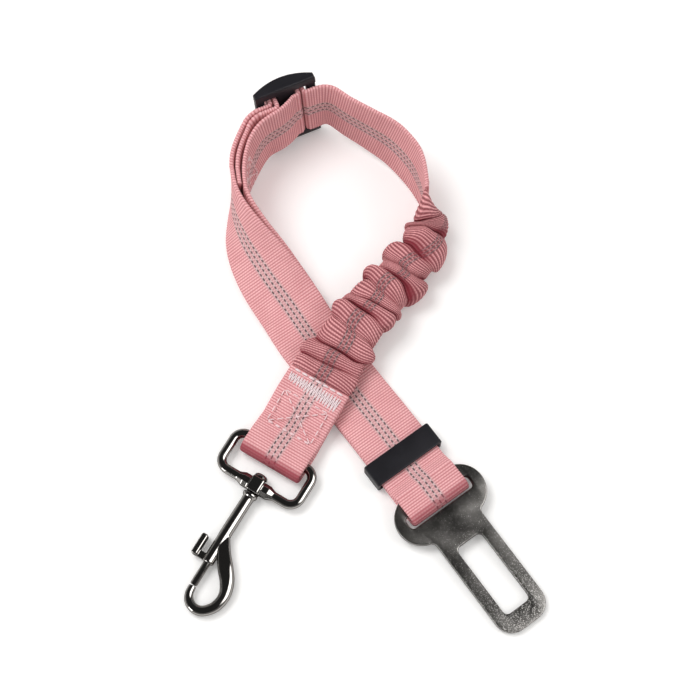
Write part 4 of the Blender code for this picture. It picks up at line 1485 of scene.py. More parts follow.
    def build_spring(self) -> None:
        """Wind the spring that gives between the barrel's end and the bolt."""
        wire = self.spring_wire
        start = self.bolt_start - self.spring_room + self.layout.gap + wire
        length = self.spring_room - 2 * self.layout.gap - 2 * wire
        turn = np.linspace(0, 2 * math.pi * self.spring_turns, self.spring_steps * self.spring_turns + 1)
        reach = self.bolt_radius - wire
        out = np.stack([np.zeros_like(turn), np.cos(turn), np.sin(turn)], axis=1)
        line = out * reach + np.array([1.0, 0.0, 0.0]) * (start + length * turn / turn[-1])[:, None]
        binormal = np.cross(unit(np.gradient(line, axis=0)), out)
        around = full_turn(self.spring_sides)
        ring = (line[:, None, :] + out[:, None, :] * (wire * np.cos(around))[None, :, None]
                + binormal[:, None, :] * (wire * np.sin(around))[None, :, None])
        spring = new_object("bolt_coil", ring.reshape(-1, 3), ring_faces(len(line), self.spring_sides))
        matrix = self.matrix()
        place(spring, matrix)
        dress(spring, self.finishes.nickel, "bright_nickel", "bolt_spring")
        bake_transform(spring)


@dataclass
class Webbing:
    """The strap: one length of ribbed webbing, in separate pieces."""

    layout: Layout
    finishes: Finishes
    adjuster: Adjuster
    tongue: Tongue
    keeper: Keeper
    snap: Snap
    rib: float = 1.0
    rib_height: float = 0.2
    rib_steps: int = 4
    rib_power: float = 0.8
    columns: tuple[float, ...] = (0.45, 1.45, 2.35, 3.0, 6.0, 9.5, 11.6, 12.1, 12.4, 12.5)
    edge_round: float = 0.9
    edge_tuck: float = 0.006
    fold_turning: float = 0.17
    fold_turning_span: float = 0.1
    turning_window: int = 25
    # How much painted shade darkens each folded end of the strap.
    tongue_fold_shade: float = 0.6
    hook_fold_shade: float = 0.85
    tail_length: float = 29.0
    flat_cut: float = 68.0
    lead_length: float = 26.0
    bend: float = 1.25
    keeper_travel_end: float = 37.0
    touch_down: float = 53.0
    hook_flat_end: float = 12.0
    hook_rise_end: float = 27.0
    hook_under_end: float = 33.0
    hook_top_end: float = 36.5
    dip_run: float = 4.5
    join_gap: float = 0.05
    side_start: float = 0.2
    turn_slack: float = 0.01
    sewn_rounds: int = 200
    side_rounds: int = 60
    side_ease_back: float = 3.0
    side_ease_run: float = 40.0
    loop_route: Route = (
        (-12.5, 1.4, 0.0, 0, 1.0), (-20.8, 13.9, 0.0, 12, 1.0), (-29.2, 26.0, 0.02, 30, 1.1),
        (-36.6, 39.0, 0.1, 54, 1.3), (-40.3, 52.0, 0.3, 79, 1.7), (-39.3, 65.0, 0.6, 93, 2.3),
        (-35.4, 75.4, 0.85, 97, 2.2))
    right_route: Route = (
        (-6.0, 93.0, 0.95, 98), (-0.4, 88.8, 0.85, 98), (8.8, 83.6, 0.6, 100), (17.9, 78.1, 0.3, 104),
        (25.2, 69.7, 0.1, 103), (29.0, 61.2, 0.0, 95), (30.8, 54.3, 0.0, 88))

    def fold_start(self) -> float:
        """Where the straight layers give way to the fold round the tongue's bar."""
        return self.tongue.head_top - 3 * self.layout.web_thick

    def loop(self) -> Path:
        """Return the line midway between the two layers, from the fold to the adjuster.

        Returns:
            The path, with the layers' distance as its spread.
        """
        lay = self.layout
        line = heading(lay.tongue_heading)
        base = lay.spot(lay.tongue_fold)
        rows = []
        for back, lift in ((self.fold_start(), 1), (-self.keeper.from_fold, 1), (-self.keeper_travel_end, 1),
                           (-self.touch_down, 0)):
            spot = base + line * back
            rows.append((spot[0], spot[1], lift * lay.keeper_lift, 0.0, 1.0))
        centre, along, outward, _ = self.adjuster.axes()
        ends = [centre + along * a - outward * self.adjuster.face_2
                for a in (-self.adjuster.half_length, 0.0)]
        roll = math.radians(lay.slide_roll)
        lift_full = ends[0][2] - float(lay.stack_height(np.array(roll), np.array(2.0)))
        # Heights on the route are shares of the height at the adjuster.
        for x, y, lift, degrees, spread in self.loop_route:
            spot = lay.spot((x, y, 0.0))
            rows.append((spot[0], spot[1], lift * lift_full, math.radians(degrees), spread))
        for end in ends:
            rows.append((end[0], end[1], lift_full, roll, 2.0))
        samples = smooth_curve(rows, SPAN_STEPS)
        point = samples[:, :3].copy()
        point[:, 2] = np.maximum(point[:, 2], 0.0) + lay.stack_height(samples[:, 3], samples[:, 4])
        return Path.rolled(point, samples[:, 3], samples[:, 4]).rows(slice(None, -SPAN_STEPS))

    def right(self) -> Path:
        """Return the single strap from the adjuster to the bungee.

        Returns:
            The path.
        """
        lay = self.layout
        centre, along, outward, _ = self.adjuster.axes()
        roll = math.radians(lay.slide_roll)
        rows = []
        for a in (0.0, self.adjuster.half_length):
            spot = centre + along * a - outward * self.adjuster.face_1
            rows.append((spot[0], spot[1], 1.0, roll))
        lift_full = spot[2] - float(lay.stack_height(np.array(roll), np.array(0.0)))
        for x, y, lift, degrees in self.right_route:
            spot = lay.spot((x, y, 0.0))
            rows.append((spot[0], spot[1], lift, math.radians(degrees)))
        samples = smooth_curve(rows, SPAN_STEPS)
        point = samples[:, :3].copy()
        point[:, 2] = np.maximum(point[:, 2], 0.0) * lift_full + lay.stack_height(samples[:, 3], 0.0)
        return Path.rolled(point, samples[:, 3]).rows(slice(SPAN_STEPS, None))

    def slide_pass(self) -> Path:
        """Return the strap's way out of one slot, over the sewn loop and in at the other.

        Returns:
            The path.
        """
        a = self.adjuster
        centre, along, outward, across = a.axes()
        flat = rounded_path([(-a.half_length, -a.face_1), (-a.leg_out, -a.face_1), (-a.leg_out, a.face_2),
                             (a.leg_out, a.face_2), (a.leg_out, -a.face_1), (a.half_length, -a.face_1)],
                            self.bend)
        return Path.upright(flat, centre, along, outward, across)

    def sewn_loop(self, loop: Path) -> Path:
        """Return the loop sewn round the adjuster's centre bar, tail and all.

        Args:
            loop: The line midway between the strap's layers.

        Returns:
            The path.
        """
        lay = self.layout
        a = self.adjuster
        centre, along, outward, across = a.axes()
        total = loop.length()
        seam = total - self.tail_length
        deep = a.face_2 + lay.pitch
        flat = rounded_path([(-a.half_length, -deep), (-a.leg_in + lay.web_thick / 2, -deep),
                             (a.leg_in - 2 * self.bend, -a.face_1), (a.leg_in, -a.face_1),
                             (a.leg_in, a.face_1), (-a.leg_in, a.face_1), (-a.leg_in, -a.face_2),
                             (-a.half_length, -a.face_2)], self.bend)
        wrap = Path.upright(flat, centre, along, outward, across)
        end = total - lay.gap
        lead = loop.cut(seam, end, 1.0).layer(Face.UNDER, lay.pitch)
        tail = loop.cut(seam + lay.web_thick, end, 1.0)
        first_bend = lead.length() + a.half_length + self.bend
        return lead.followed_by(wrap, tail.backwards()).relaxed(0.0, first_bend, self.sewn_rounds)

    def tongue_fold(self) -> Path:
        """Return the fold round the tongue's bar, from under the keeper and back.

        Returns:
            The path.
        """
        lay = self.layout
        low = lay.keeper_lift + lay.web_thick / 2
        near = low + lay.pitch
        high = lay.keeper_lift + lay.pitch + self.tongue.thick + lay.gap + lay.web_thick / 2
        start = self.fold_start()
        top = self.tongue.head_top
        turned = rounded_path([(-self.keeper.from_fold, low), (-lay.web_thick / 2, low),
                               (-lay.web_thick / 2, high), (top / 2, high)],
                              (high - low) / 2 - self.turn_slack, 16)
        back = rounded_path([(top / 2, high), (top - lay.gap, high), (start + lay.web_thick / 2, near),
                             (-self.keeper.from_fold, near)], lay.web_thick, 8)
        along = heading(lay.tongue_heading)
        return Path.upright(np.concatenate([turned[:-1], back[1:]]), lay.spot(lay.tongue_fold), along, UP,
                            np.cross(along, UP))

    def hook_profile(self) -> tuple[Outline, Outline, float]:
        """Return the hook end's under and top lines and the fold's radius.

        Returns:
            Both lines as distances from the fold and heights, and the radius.
        """
        lay = self.layout
        low = lay.web_thick / 2
        radius = self.snap.eye_wire + lay.gap + lay.web_thick / 2
        raised = lay.crossing_lift + lay.web_thick / 2
        turn = -lay.web_thick / 2
        under = [(-self.hook_under_end, raised + lay.gap), (-self.hook_rise_end, raised),
                 (-self.hook_flat_end, low), (turn, low)]
        shoulder = -self.snap.eye_from_fold - self.snap.eye_wire - 2 * lay.gap
        dip = shoulder - self.dip_run * lay.web_thick
        slope = (raised - low) / (self.hook_rise_end - self.hook_flat_end)
        top = [(turn, low + 2 * radius), (shoulder, low + 2 * radius),
               (dip, low + lay.pitch + slope * max(0.0, -dip - self.hook_flat_end)),
               (-self.hook_rise_end, raised + lay.pitch), (-self.hook_top_end, raised + lay.pitch + lay.gap)]
        return under, top, radius

    def hook_top_height(self, back: float) -> float:
        """Return the height of the hook end's top layer at a distance behind its fold."""
        top = self.hook_profile()[1][::-1]
        return float(np.interp(-back, [p[0] for p in top], [p[1] for p in top]))

    def hook_loop(self) -> Path:
        """Return the webbing folded round the eye's bar.

        Returns:
            The path.
        """
        lay = self.layout
        under, top, radius = self.hook_profile()
        flat = rounded_path(under, 3 * lay.web_thick)
        turned = rounded_path([under[2], under[3], top[0], top[1]], radius - self.turn_slack, 16)[1:-1]
        back = rounded_path(top, 2 * lay.web_thick)[1:]
        along = heading(lay.hook_heading)
        return Path.upright(np.concatenate([flat[:-1], turned, back]),
                            lay.spot(lay.hook_fold), along, UP, np.cross(along, UP))

    def ribbon(self, name: str, path: Path, fold_shade: float) -> Object:
        """Weave a ribbed strip along a path.

        Args:
            name: The piece's name.
            path: Its middle line.
            fold_shade: How much painted shade darkens the strip where it is folded over.

        Returns:
            The strip, with each point's place in the weave and its painted fold shade as an attribute.
        """
        length = path.length()
        marks = np.linspace(0.0, length, max(3, int(length / (self.rib / self.rib_steps)) + 1))
        fine = path.at(marks)
        half_row = np.array(self.columns)
        columns = np.concatenate([-half_row[::-1], half_row])
        edge_start = self.layout.half_web - self.edge_round
        off = np.clip((np.abs(columns) - edge_start) / self.edge_round, 0.0, 1.0)
        body = np.sqrt(1.0 - off ** 2)
        crest = (0.5 + 0.5 * np.cos(2 * math.pi * marks / self.rib)) ** self.rib_power
        half = self.layout.web_thick / 2
        height = (half - self.rib_height * (1 - crest))[:, None] * body[None, :]
        spread = columns[None, :] * (1.0 - self.edge_tuck * (1 - crest)[:, None] * (off[None, :] > 0.5))
        middle = fine.point[:, None, :] + fine.across[:, None, :] * spread[..., None]
        rise = fine.normal[:, None, :] * height[..., None]
        top, under = middle + rise, middle - rise
        ring = np.concatenate([top, under[:, -2:0:-1, :]], axis=1)
        sides = ring.shape[1]
        item = new_object(name, ring.reshape(-1, 3), ring_faces(len(marks), sides))
        ring_across = np.concatenate([columns, columns[-2:0:-1]])
        web = np.zeros((len(marks), sides, 3))
        web[..., 0] = marks[:, None]
        web[..., 1] = ring_across[None, :]
        # Painted shade: the strip darkens where it bends sharply, standing in for the shade on a fold's face.
        tangent = unit(np.gradient(fine.point, axis=0))
        turning = np.linalg.norm(np.gradient(tangent, marks, axis=0), axis=1)
        window = self.turning_window
        turning = np.convolve(turning, np.full(window, 1 / window), mode="same")
        folded = np.clip((turning - self.fold_turning) / self.fold_turning_span, 0.0, 1.0)
        web[..., 2] = fold_shade * folded[:, None]
        mark_weave(item, web)
        return item

    def build(self) -> None:
        """Weave and lay every piece of the strap."""
        lay = self.layout
        loop = self.loop()
        total = loop.length()
        seam = total - self.tail_length
        under_keeper = self.fold_start() + self.keeper.from_fold
        slide = self.slide_pass()
        half_slide = slide.length() / 2
        right = self.right()
        under = loop.cut(under_keeper, seam - self.join_gap).layer(Face.UNDER, lay.pitch)
        top = loop.cut(under_keeper, total - self.join_gap).layer(Face.TOP, lay.pitch)
        outer = top.followed_by(slide.cut(0.0, half_slide, 0.1))
        back = slide.cut(half_slide + self.join_gap, slide.length(), 0.1)
        back = back.followed_by(right.cut(self.side_start, right.length()))
        back = back.relaxed(half_slide - self.side_ease_back, half_slide + self.side_ease_run,
                            self.side_rounds)
        pieces = (
            ("under_strap", under, "laid", 0.0, ("under_run", "under_turn")),
            ("top_strap", outer, "laid", 0.0, ("top_run", "top_turn", "slide_pass")),
            ("side_strap", back, "laid", 0.0, ("right_lead", "right_run")),
            ("sewn_strap", self.sewn_loop(loop), "folded", 0.0, ("sewn_loop",)),
            ("tongue_strap", self.tongue_fold(), "folded", self.tongue_fold_shade, ("tongue_fold",)),
            ("hook_strap", self.hook_loop(), "folded", self.hook_fold_shade, ("hook_loop",)))
        made = {}
        for name, path, held, fold_shade, nodes in pieces:
            item = self.ribbon(name, path, fold_shade)
            dress(item, self.finishes.webbing, "pink_webbing", *nodes)
            round(path.length()) * MM
            LOG.info("%s is %.0f mm long", name, path.length())
            made[name] = item
        turn_start = loop.at(np.array([self.flat_cut])).point[0] * MM
        for name, end in (("under_strap", seam), ("top_strap", total)):
            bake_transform(made[name], "strap", "adjuster", turn_start, loop.at(np.array([end])).point[0] * MM)
        lead = right.at(np.array([0.0, self.lead_length])).point * MM
        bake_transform(made["side_strap"])
        fold = lay.spot(lay.tongue_fold)
        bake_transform(made["tongue_strap"])
        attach(made["sewn_strap"], "adjuster")
        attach(made["hook_strap"], "hook_end")


@dataclass
class Bungee:
    """Gathered webbing over elastic: puckers that lean on each other."""

    webbing: Webbing
    tip: float = 8.0
    end_half: float = 2.85
    sizes: tuple[float, ...] = (0.8, 1.0, 1.15, 1.2, 1.0, 0.85, 0.75, 0.8, 0.95, 1.1, 1.05, 0.85)
    bulge: float = 3.0
    wrap: float = 90.0
    sides: int = 84
    samples: int = 60
    rib_height: float = 0.26
    sway: float = 1.7
    taper: float = 7.0
    cut_length: float = 150.0
    squareness: float = 0.8
    join_gap: float = 0.05
    free_run: float = 1.5
    wander: Route = ((1.6, 1, 1.9, 0.0), (0.6, 2, 2.7, 0.4), (0.22, 5, 4.1, 0.0))
    bite: Route = ((0.5, 1, 2.4, 0.6), (0.15, 3, 1.3, 0.0))
    mean_bite: float = 0.75
    least_bite: float = 0.15
    sway_turn: float = 2.6
    sway_start: float = 0.5
    lean: float = 0.2
    lean_turn: float = 2.1
    reach: float = 0.494
    neck_thick: float = 0.3
    side_sink: float = 0.8
    least_width: float = 0.6
    least_thick: float = 0.3
    # Painted shade: the sleeve's colour darkens in its hollows and on each pucker's far side.
    away_start: float = 0.05
    away_run: float = 0.9
    away_shade: float = 0.5
    hollow_gain: float = 1.3
    hollow_start: float = 0.25
    hollow_power: float = 1.2
    deepest_shade: float = 0.9
    route: Route = (
        (30.4, 53.9, 0.0, 88, 1.0, 4.4), (30.6, 50.7, 0.0, 86, 0.98, 6.6), (31.2, 44.6, 0.0, 64, 0.78, 7.4),
        (28.8, 36.6, 0.0, 30, 0.74, 7.6), (22.6, 27.8, 0.0, 8, 0.79, 7.4), (15.0, 19.0, 0.3, 0, 0.83, 6.8),
        (8.0, 9.6, 0.95, 0, 0.87, 5.6), (1.0, 0.6, 1.02, 0, 0.93, 4.2))

    @property
    def puckers(self) -> int:
        """Number of puckers."""
        return len(self.sizes)

    def oval(self, width: float, thick: float, turn: Array) -> tuple[Array, Array]:
        """Return a squared-off oval's distances across and off the face."""
        c, s = (np.sign(v) * np.abs(v) ** self.squareness for v in (np.cos(turn), np.sin(turn)))
        return width * c, thick * s

    def line(self) -> tuple[Path, Array, Array]:
        """Return the middle line with its half-widths and half-thicknesses.

        Returns:
            The line, and both sizes at each of its points.
        """
        lay = self.webbing.layout
        rows = []
        for x, y, lift, degrees, width, thick in self.route:
            spot = lay.spot((x, y, 0.0))
            rows.append((spot[0], spot[1], lift, math.radians(degrees), width * lay.half_web, thick))
        lift = (self.webbing.hook_top_height(self.webbing.hook_top_end) - self.end_half) / lay.crossing_lift
        for back in (self.webbing.hook_top_end + self.tip, self.webbing.hook_top_end + self.join_gap):
            spot = lay.spot(lay.hook_fold) - heading(lay.hook_heading) * back
            rows.append((spot[0], spot[1], lift, 0.0, lay.half_web, self.end_half))
        samples = smooth_curve(rows, SPAN_STEPS)
        turn = full_turn(48)
        point = samples[:, :3].copy()
        for k, (_, _, lift, roll, width, thick) in enumerate(samples):
            across, off = self.oval(width, thick, turn)
            reach = np.max(across * math.sin(roll) + off * math.cos(roll))
            point[k, 2] = max(0.0, lift) * lay.crossing_lift + reach
        return Path.rolled(point, samples[:, 3]), samples[:, 4], samples[:, 5]

    def ripple(self, waves: Route, turn: Array, base: float) -> Array:
        """Add up waves that run round each crease.

        Args:
            waves: Each wave's size, count, step from crease to crease and start.
            turn: Angles round the sleeve.
            base: What the waves are added to.

        Returns:
            The sums, one row per crease.
        """
        order = np.arange(self.puckers + 1)[:, None]
        return sum((size * np.sin(count * turn[None, :] + step * order + start)
                    for size, count, step, start in waves), base)

    def creases(self, length: float, turn: Array) -> Array:
        """Return where each crease lies round the sleeve, one row per crease.

        Args:
            length: The sleeve's length.
            turn: Angles round the sleeve.

        Returns:
            Distances along the sleeve.
        """
        count = self.puckers
        order = np.arange(count + 1)
        base = np.concatenate([[0.0], np.cumsum(self.sizes)]) * length / sum(self.sizes)
        free = np.minimum(1.0, np.minimum(order, count - order) / self.free_run)
        return base[:, None] + self.ripple(self.wander, turn, 0.0) * free[:, None]

    def depths(self, turn: Array) -> Array:
        """Return how deep each crease cuts round the sleeve: deep on one side, fading on the other.

        Args:
            turn: Angles round the sleeve.

        Returns:
            The depths, one row per crease.
        """
        order = np.arange(self.puckers + 1)[:, None]
        held = np.minimum(1.0, 0.5 + 0.5 * np.minimum(order, self.puckers - order))
        return self.bulge * held * np.maximum(self.ripple(self.bite, turn, self.mean_bite), self.least_bite)

    def sway_at(self, pucker: int, share: float) -> float:
        """Return how far a ring leans to the side, eased from one pucker to the next.

        Args:
            pucker: The pucker's number.
            share: Where the ring lies on it, from 0 to 1.

        Returns:
            The lean in millimetres.
        """

        def lean(k: int) -> float:
            """Return one pucker's own lean."""
            free = min(1.0, max(0, min(k, self.puckers - 1 - k)) / 2)
            return self.sway * free * math.sin(self.sway_turn * k + self.sway_start)

        other = pucker - 1 if share < 0.5 else pucker + 1
        ease = abs(2 * share - 1) ** 2
        return lean(pucker) + (lean(other) - lean(pucker)) * ease / 2

    def shade(self, angle: float, sunk: Array, crease: Array) -> Array:
        """Find a ring's painted shade: dark in the creases and on each pucker's far side.

        Args:
            angle: The ring's place on its pucker.
            sunk: How far each point lies below the pucker's crown.
            crease: Depth of the nearest crease.

        Returns:
            The painted shade of each point.
        """
        away = np.clip((math.sin(angle) + self.away_start) / self.away_run, 0.0, 1.0)
        hollow = np.clip(self.hollow_gain * sunk / self.bulge - self.hollow_start, 0.0, 1.0)
        hollow = hollow ** self.hollow_power
        shade = self.deepest_shade * hollow + self.away_shade * away ** 2 * crease / self.bulge
        return np.clip(shade, 0.0, self.deepest_shade)

    def build(self) -> None:
        """Gather the sleeve over its elastic."""
        lay = self.webbing.layout
        path, widths, thicks = self.line()
        own = path.marks()
        length = path.length()
        turn = full_turn(self.sides)
        square_c, square_s = self.oval(1.0, 1.0, turn)
        creases = self.creases(length, turn)
        depths = self.depths(turn)
        arc = np.radians(np.linspace(-self.wrap, self.wrap, self.samples))
        rows, outs, webs = [], [], []
        for k in range(self.puckers):
            low, high = creases[k], creases[k + 1]
            lean = self.lean * (high - low) * np.sin(turn + self.lean_turn * k)
            for j, angle in enumerate(arc):
                crease = depths[k] if angle < 0 else depths[k + 1]
                # A later pucker starts with the last ring of the one before.
                if j == 0 and k > 0:
                    continue
                mark = (low + high) / 2 + self.reach * (high - low) * math.sin(angle)
                mark = np.clip(mark + lean * math.cos(angle) ** 2, 0.0, length)
                here = path.at(mark)
                width = np.interp(mark, own, widths)
                neck = np.clip(mark / self.taper, 0.0, 1.0)
                swell = neck * neck * (3 - 2 * neck)
                thick = np.interp(mark, own, thicks) * (self.neck_thick + (1 - self.neck_thick) * swell)
                sunk = crease * (1.0 - math.cos(angle))
                across = np.maximum(width - self.side_sink * sunk, self.least_width * width)
                off = np.maximum(thick - sunk, self.least_thick * thick)
                sway = self.sway_at(pucker=k, share=j / (self.samples - 1))
                rows.append(here.point + here.across * (across * square_c + sway)[:, None]
                            + here.normal * (off * square_s)[:, None])
                outs.append(here.across * square_c[:, None] + here.normal * square_s[:, None])
                web = np.zeros((self.sides, 3))
                web[:, 1] = across * square_c * lay.half_web / width
                web[:, 2] = self.shade(angle, sunk, crease)
                webs.append(web)
        skin, web = np.stack(rows), np.stack(webs)
        steps = np.linalg.norm(np.diff(skin, axis=0), axis=2).mean(axis=1)
        travelled = np.concatenate([[0.0], np.cumsum(steps)])
        crest = 0.5 + 0.5 * np.cos(2 * math.pi * travelled / self.webbing.rib)
        skin -= self.rib_height * (1 - crest)[:, None, None] * np.stack(outs)
        web[..., 0] = travelled[:, None]
        sleeve = new_object("gathered_sleeve", skin.reshape(-1, 3), ring_faces(len(skin), self.sides))
        mark_weave(sleeve, web)
        dress(sleeve, self.webbing.finishes.sleeve, "pink_sleeve", "bungee_sleeve", "elastic_band")
        LOG.info("the sleeve's cloth is %.0f mm long", travelled[-1])
        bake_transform(sleeve)


@dataclass(frozen=True)
class Seam:
    """How a row is sewn: a stitch's length, the space between stitches and the thread's radius."""

    dash: float
    space: float
    radius: float


@dataclass(frozen=True)
class Stitch:
    """One stitch: its two ends, the direction off the cloth and the thread's radius."""

    start: Array
    end: Array
    off: Array
    radius: float


@dataclass
class Sewing:
    """Thread: bartacks, and boxes with a cross in them."""

    webbing: Webbing
    plain: Seam = Seam(2.2, 0.9, 0.27)
    near_row: Seam = Seam(1.9, 1.2, 0.45)
    long_row: Seam = Seam(2.5, 0.6, 0.45)
    sides: int = 8
    rings: int = 9
    rise: float = 0.42
    sink: float = 0.2
    end_size: float = 0.55
    belly_size: float = 0.45
    box_near: float = 14.2
    box_far: float = 27.0
    box_half: float = 9.2
    slope_near: float = 16.0
    slope_far: float = 25.0
    near_lift: float = 0.3
    cross_lift: float = 0.02
    bartack_count: int = 36
    bartack_half: float = 10.4
    bartack_near: float = 29.5
    bartack_far: float = 34.1
    bartack_skew: float = 0.12
    bartack_lean: float = 0.2
    jog: float = 0.45
    jog_turn: float = 2.4
    far_jog: float = 0.6
    long_row_back: float = 35.5
    tail_near: float = 4.0
    tail_far: float = 15.0
    tail_half: float = 9.2
    tail_pitch: float = 3.0
    tail_span: Pair = (0.15, 0.85)
    top_count: int = 30
    top_half: float = 9.0
    top_start: float = 4.6
    top_end: float = 2.2

    def stitches(self, name: str, runs: list[Stitch]) -> Object:
        """Sew stitches that rise out of the cloth and dive back in.

        Args:
            name: The piece's name.
            runs: The stitches.

        Returns:
            All the stitches as one mesh.
        """
        verts, faces = [], []
        turn = full_turn(self.sides)
        share = np.linspace(0, 1, self.rings)
        rise = np.sin(math.pi * share) ** 0.5 * self.rise - self.sink
        belly = self.end_size + self.belly_size * np.sin(math.pi * share) ** 0.6
        for run in runs:
            side = unit(np.cross(unit(run.end - run.start), run.off))
            line = run.start + (run.end - run.start) * share[:, None] + run.off * rise[:, None]
            size = run.radius * belly
            ring = (line[:, None, :] + side * (size[:, None] * np.cos(turn))[..., None]
                    + run.off * (size[:, None] * np.sin(turn))[..., None])
            base = len(verts) * self.rings * self.sides
            verts.append(ring.reshape(-1, 3))
            faces.extend([[c + base for c in f] for f in ring_faces(self.rings, self.sides)])
        return new_object(name, np.concatenate(verts), faces)

    def dashed(self, corners: list[Array], off: Array, seam: Seam) -> list[Stitch]:
        """Split a polyline into stitches of one thread.

        Args:
            corners: The polyline's corners.
            off: Direction off the cloth.
            seam: How the row is sewn.

        Returns:
            The stitches, in order.
        """
        runs = []
        pitch = seam.dash + seam.space
        for a, b in zip(corners, corners[1:]):
            count = max(1, int(round(float(np.linalg.norm(b - a)) / pitch)))
            for k in range(count):
                first = (k + 0.5 * seam.space / pitch) / count
                last = (k + 1 - 0.5 * seam.space / pitch) / count
                runs.append(Stitch(a + (b - a) * first, a + (b - a) * last, off, seam.radius))
        return runs

    def build(self) -> None:
        """Sew the hook end, the tail and the bungee's top."""
        self.sew_hook_box()
        self.sew_hook_bartack()
        self.sew_tail()
        self.sew_top()

    def hook_spot(self, back: float, side: float) -> Array:
        """Find a point on the hook end's top face.

        Args:
            back: Distance behind the fold.
            side: Distance off the middle.

        Returns:
            The point.
        """
        lay = self.webbing.layout
        along = heading(lay.hook_heading)
        height = self.webbing.hook_top_height(back) + lay.web_thick / 2
        return lay.spot(lay.hook_fold) - along * back + np.cross(along, UP) * side + UP * height

    def sew_hook_box(self) -> None:
        """Sew a box with a cross, its near row of heavier thread, on the hook end."""
        web = self.webbing
        rise = web.hook_top_height(self.slope_far) - web.hook_top_height(self.slope_near)
        slope = math.atan2(rise, self.slope_far - self.slope_near)
        normal = UP * math.cos(slope) + heading(web.layout.hook_heading) * math.sin(slope)
        near_left, near_right = (self.hook_spot(self.box_near, s * self.box_half) for s in (-1, 1))
        far_left, far_right = (self.hook_spot(self.box_far, s * self.box_half) for s in (-1, 1))
        lift = UP * self.near_lift
        runs = self.dashed([near_right, far_right, far_left, near_left], normal, self.plain)
        runs += self.dashed([near_left + lift, near_right + lift], normal, self.near_row)
        runs += self.dashed([near_left, far_right], normal, self.plain)
        runs += self.dashed([near_right, far_left], normal + UP * self.cross_lift, self.plain)
        item = self.stitches("hook_box_sewing", runs)
        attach(dress(item, self.webbing.finishes.dyed_thread, "white_thread", "hook_box_stitch"), "hook_end")

    def sew_hook_bartack(self) -> None:
        """Sew a dense bartack and a row of long stitches behind the hook end's box."""
        runs = []
        half = self.bartack_half
        for k in range(self.bartack_count):
            side = -half + 2 * half * k / (self.bartack_count - 1)
            lean = self.bartack_lean if k % 2 else -self.bartack_lean
            jog = self.jog * math.sin(self.jog_turn * k)
            near = self.bartack_near + self.bartack_skew * side + jog
            far = self.bartack_far + self.far_jog * jog
            runs.append(Stitch(self.hook_spot(near, side - lean), self.hook_spot(far, side + lean), UP,
                               self.plain.radius))
        row = [self.hook_spot(self.long_row_back, s * half) for s in (-1, 1)]
        runs += self.dashed(row, UP, self.long_row)
        item = self.stitches("hook_bartack_sewing", runs)
        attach(dress(item, self.webbing.finishes.thread, "white_thread", "hook_bartack"), "hook_end")

    def tail_spot(self, loop: Path, mark: float, side: float) -> tuple[Array, Array]:
        """Find a point on the tail's seam, on the loop's inner face.

        Args:
            loop: The line midway between the strap's layers.
            mark: Distance from the seam's start.
            side: Distance off the middle.

        Returns:
            The point and the direction off the cloth.
        """
        lay = self.webbing.layout
        start = loop.length() - self.webbing.tail_length
        here = loop.at(np.array([start + mark])).layer(Face.UNDER, lay.pitch)
        off = -here.normal[0]
        return here.point[0] + here.across[0] * side + off * lay.web_thick / 2, off

    def sew_tail(self) -> None:
        """Sew a box with a cross through the tail."""
        loop = self.webbing.loop()
        near, far, half = self.tail_near, self.tail_far, self.tail_half
        legs = [((near, -half), (near, half)), ((far, -half), (far, half)), ((near, half), (far, half)),
                ((near, -half), (far, -half)), ((near, -half), (far, half)), ((near, half), (far, -half))]
        runs = []
        for (m0, s0), (m1, s1) in legs:
            count = max(1, int(round(math.hypot(m1 - m0, s1 - s0) / self.tail_pitch)))
            for k in range(count):
                a, b = ((k + share) / count for share in self.tail_span)
                start, off = self.tail_spot(loop, m0 + (m1 - m0) * a, s0 + (s1 - s0) * a)
                end, _ = self.tail_spot(loop, m0 + (m1 - m0) * b, s0 + (s1 - s0) * b)
                runs.append(Stitch(start, end, off, self.plain.radius))
        item = self.stitches("tail_box_sewing", runs)
        LOG.info("tail sewn over %.0f mm", far - near)
        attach(dress(item, self.webbing.finishes.dyed_thread, "white_thread", "tail_box_stitch"), "adjuster")

    def sew_top(self) -> None:
        """Sew the bartack where the bungee leaves the strap."""
        right = self.webbing.right()
        total = right.length()
        ends = right.at(np.array([total - self.top_start, total - self.top_end]))
        off = ends.normal[0]
        runs = []
        for k in range(self.top_count):
            side = -self.top_half + 2 * self.top_half * k / (self.top_count - 1)
            a, b = ends.point + ends.across * side + off * self.webbing.layout.web_thick / 2
            runs.append(Stitch(a, b, off, self.plain.radius))
        item = self.stitches("bungee_bartack_sewing", runs)
        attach(dress(item, self.webbing.finishes.thread, "white_thread", "bungee_top_bartack"), "strap")


@dataclass(frozen=True)
class Lamp:
    """Soft square lamp, in metres and watts."""

    name: str
    spot: Triple
    size: float
    power: float
    mirrored: bool = False

    def hang(self) -> None:
        """Hang the lamp so that it faces the tether."""
        data = bpy.data.lights.new(self.name, "AREA")
        data.shape = "SQUARE"
        data.size = self.size
        data.energy = self.power
        lamp = add_object(self.name, data)
        lamp.location = self.spot
        lamp.rotation_euler = (-Vector(self.spot)).to_track_quat("-Z", "Y").to_euler()
        lamp.visible_glossy = self.mirrored


